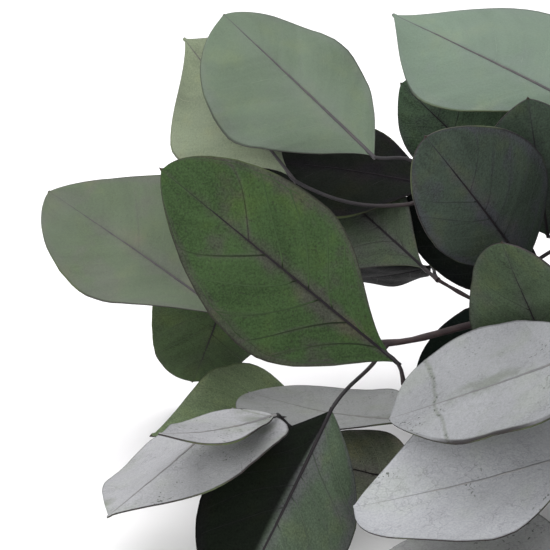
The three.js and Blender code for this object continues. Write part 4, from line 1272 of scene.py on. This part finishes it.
# %% Finish: bark and cut wood
STALK_BLACK, TWIG_PURPLE = (0.014, 0.012, 0.014), (0.030, 0.019, 0.020)
STEM_BROWN = (0.125, 0.085, 0.058)
RIB_LIGHT, BARK_DOT, BARK_GREY = (1.9, 1.8, 1.6), (0.22, 0.185, 0.14), (0.12, 0.115, 0.105)
PALE_WOOD, PITH = (0.42, 0.33, 0.20), (0.27, 0.20, 0.12)


def bark():
    finish = new_material("bark", roughness=0.66)
    age = attribute("age")
    colour = blend(faded(age, "twig"), STALK_BLACK, TWIG_PURPLE)
    colour = blend(faded(age, "stem"), colour, STEM_BROWN)
    ribs = noise(900, 4, (0.12, 1, 1))
    colour = toned(colour, faded(ribs, "bark_rib"), RIB_LIGHT)
    dots = faded(noise(650, 1, (0.6, 1, 1)), "bark_dot") * faded(age, "dotted_stem")
    colour = blend(dots * 0.6, colour, BARK_DOT)
    colour = blend(patches("grey_bark") * faded(age, "grey_stem"), colour, BARK_GREY)
    return painted(finish, colour, ribs + dots * 0.5, depth=0.0004, strength=0.9)


def cut_wood():
    finish = new_material("cut_wood", roughness=0.85, specular=0.2)
    colour = blend(noise(700, 4), PALE_WOOD, PITH)
    return painted(finish, colour, noise(1600, 3), depth=0.0003, strength=0.8)


BARK, CUT_WOOD = bark(), cut_wood()
print("wood finishes:", BARK.name, CUT_WOOD.name)

# %% [markdown]
# The wood tree. Bark noise moves each corner of the round body in or out by less than a tenth
# of a millimetre. The cut end is the flat cap at the far end of each stem. It gets its own finish
# after the mesh is made, and a bowl-shaped dimple of pith would be too small to see.

# %% Grow the wood
WOOD_SIDES, BARK_DEPTH, BARK_SCALE, CUT_ZONE = 12, 0.12 * MM, 700.0, 15


def wood_tree():
    given, end = new_tree("wood", {"Lines": "Geometry", "Sides": "Int", "Bark Depth": "Float"})
    curves = geo("MeshToCurve", {"Mesh": given["Lines"]})
    body = swept(curves, ring(given["Sides"]), read("girth"))
    ribs = add_node("ShaderNodeTexNoise", {"Scale": BARK_SCALE, "Detail": 2.0})
    offset = outward().scaled((ribs - 0.5) * given["Bark Depth"])
    body = smoothed(geo("SetPosition", {"Geometry": body, "Offset": offset}))
    feed(end, finished(geo("RealizeInstances", {"Geometry": body}), BARK))
    return current


def show_cut(piece):
    piece.data.materials.append(CUT_WOOD)
    for face in piece.data.polygons:
        if len(face.vertices) > 4 and face.center.x > to_part([CUT_X - CUT_ZONE, 0, 0])[0]:
            face.material_index = 1
            face.use_smooth = False


wood = wood_tree()
for name, own in on_stem.items():
    piece = grown(name + "_wood", wood_lines(name, own), wood,
                  {"Sides": WOOD_SIDES, "Bark Depth": BARK_DEPTH})
    show_cut(piece)
    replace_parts(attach(piece, "root"), name)
    pieces.append(piece)
    print(piece.name, "triangles:", triangles(piece))

# %% [markdown]
# The twine goes round the bundle four times and ends in a knot with two short ends. Real jute
# twine is three plies twisted together, so the cord's cross-section has three lobes, and the
# section turns along the way. Underneath, the weight of the bunch presses it flat.

# %% The way of the twine
TWINE_TURNS, TWINE_PITCH, CORNER_STEPS, TWINE_STEP = 4, 1.55, 5, 0.55
PLY_TURN_LENGTH, SWING = 5.0, 30
KNOT = [(-3.4, -1.6, 0.6), (-1.2, -2.2, 2.2), (1.6, -0.6, 2.8), (2.2, 1.8, 2.2),
        (0, 2.6, 2.0), (-1.8, 1.2, 2.6), (-0.6, -1.4, 3.1), (3.2, -3.2, 1.0)]
END_A = [(2.6, -2.6, 1.5), (5.5, -4.6, 0.6), (10, -5.6, -0.6), (15, -5.2, -1.6)]
END_B = [(-2.6, -1.9, 1.4), (-6, 0.4, 0.7), (-11, 2.4, 0.9), (-15, 2.6, 1.3)]


def bundle_loop(turns):
    reach = STEM_RADIUS + TWINE_GAP + TWINE_RADIUS
    first = TIE_X - TWINE_PITCH * turns / 2
    stops = []
    for corner in range(6 * turns + 1):
        seat = math.radians(60 * corner)
        for swing in np.linspace(-SWING, SWING, CORNER_STEPS):
            angle = seat + math.radians(swing)
            y = TIE_Y + SEAT_SPACING * math.cos(seat) + reach * math.cos(angle)
            z = TIE_Z + SEAT_SPACING * math.sin(seat) + reach * math.sin(angle)
            turn = corner * 60 + swing
            stops.append(np.array([first + TWINE_PITCH * (turn + SWING) / 360, y, z]))
    return stops


def twine_ways():
    top = TIE_Z + SEAT_DROP + STEM_RADIUS + TWINE_GAP + TWINE_RADIUS
    middle = np.array([TIE_X, TIE_Y - 1, top])
    ends = [[middle + place for place in way] for way in (KNOT, END_A, END_B)]
    return [bundle_loop(TWINE_TURNS), *ends]


twine_runs = [smooth(way, TWINE_STEP) for way in twine_ways()]
twine_length = sum(length_of(run) for run in twine_runs)
print("twine length, mm:", round(twine_length), "points:", sum(map(len, twine_runs)))

# %% [markdown]
# The three-lobed section is a closed curve of its own. The tree sweeps it along the way of the
# twine, turning it by the length walked, and sets short loose fibres on the surface, as jute has.

# %% Finish and tree of the twine
LOBES, LOBE_DEPTH, LOBE_ROUNDING, SECTION_POINTS = 3, 0.28, 0.8, 15
FIBRE_DENSITY, FIBRE_LENGTH, FIBRE_SEED = 2.2e6, 1.5 * MM, 5
JUTE_DARK, JUTE_PALE, JUTE_STAIN = (0.33, 0.235, 0.125), (0.60, 0.475, 0.29), (0.26, 0.18, 0.095)
FLAT_HEIGHT = 0.02 * MM
FIBRE_CORNERS = [(0.045, 0, 0), (-0.0225, 0.04, 0), (-0.0225, -0.04, 0),
                 (0.2, 0.03, 0.6), (0.15, 0.0, 0.6), (0.2, -0.03, 0.6), (0.55, 0, 1.0)]
FIBRE_FACES = [(0, 1, 4, 3), (1, 2, 5, 4), (2, 0, 3, 5), (3, 4, 6), (4, 5, 6), (5, 3, 6), (2, 1, 0)]


def jute():
    finish = new_material("jute", roughness=0.92, specular=0.15)
    strands = noise(2400, 4, (1, 0.5, 0.5))
    colour = blend(strands, JUTE_DARK, JUTE_PALE)
    colour = blend(patches("dark_jute"), colour, JUTE_STAIN)
    return painted(finish, colour, strands, depth=0.0004, strength=0.9)


def shape_of(name, corners, edges, faces):
    mesh = bpy.data.meshes.new(name)
    mesh.from_pydata(corners, edges, faces)
    return bpy.data.objects.new(name, mesh)


def twine_section():
    angles = np.linspace(0, TURN, SECTION_POINTS, endpoint=False)
    radii = 1 - LOBE_DEPTH + LOBE_DEPTH * np.abs(np.cos(LOBES * angles / 2)) ** LOBE_ROUNDING
    corners = [(r * math.cos(a), r * math.sin(a), 0) for r, a in zip(radii, angles)]
    edges = [(i, (i + 1) % SECTION_POINTS) for i in range(SECTION_POINTS)]
    return shape_of("twine_section", corners, edges, [])


def twine_tree(material):
    given, end = new_tree("twine", {
        "Ways": "Geometry", "Section": "Object", "Fibre": "Object", "Radius": "Float",
        "Ply Turn": "Float", "Density": "Float", "Fibre Length": "Float", "Seed": "Int"})
    ways = geo("MeshToCurve", {"Mesh": given["Ways"]})
    walked = geo("SplineParameter", {}, "Length")
    turned = geo("SetCurveTilt", {"Curve": ways, "Tilt": walked / given["Ply Turn"] * TURN})
    outline = geo("ObjectInfo", {"Object": given["Section"]}, "Geometry")
    cord = smoothed(swept(turned, geo("MeshToCurve", {"Mesh": outline}), given["Radius"]))
    values = {"Mesh": cord, "Density": given["Density"], "Seed": given["Seed"]}
    spots = geo("DistributePointsOnFaces", values, "Points")
    hairs = geo("InstanceOnPoints", {
        "Points": spots, "Instance": geo("ObjectInfo", {"Object": given["Fibre"]}, "Geometry"),
        "Rotation": Term(spots.socket.node.outputs["Rotation"]), "Scale": given["Fibre Length"]})
    fuzz = geo("RealizeInstances", {"Geometry": hairs})
    feed(end, finished(joined(fuzz, cord), material))
    return current


def pressed_flat(piece):
    for corner in piece.data.vertices:
        corner.co.z = max(corner.co.z, FLAT_HEIGHT)


twine_lines = line_mesh("twine_ways", twine_runs, [to_part(p) for run in twine_runs for p in run])
twine = grown("tie_twine", twine_lines, twine_tree(jute()), {
    "Section": twine_section(), "Fibre": shape_of("fibre", FIBRE_CORNERS, [], FIBRE_FACES),
    "Radius": TWINE_RADIUS * MM, "Ply Turn": PLY_TURN_LENGTH * MM, "Density": FIBRE_DENSITY,
    "Fibre Length": FIBRE_LENGTH, "Seed": FIBRE_SEED})
pressed_flat(twine)
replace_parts(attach(twine, "root"), "tie")
pieces.append(twine)
print("twine triangles:", triangles(twine))

# %% [markdown]
# The table is plain white with a very faint unevenness, so that the soft shade under the leaves
# reads as shade on a real surface.

# %% Finish: table
TABLE_COOL, TABLE_WARM = (0.90, 0.885, 0.887), (0.93, 0.915, 0.918)


def white_table():
    finish = new_material("white_table", roughness=0.75, specular=0.2)
    return painted(finish, blend(noise(3, 3), TABLE_COOL, TABLE_WARM))


table.data.materials.append(white_table())
print("table finish:", table.data.materials[0].name)

# %% [markdown]
# Last, the triangles of all the pieces are counted and printed.

# %% Measure and finish
print("triangles in all:", sum(triangles(piece) for piece in pieces))
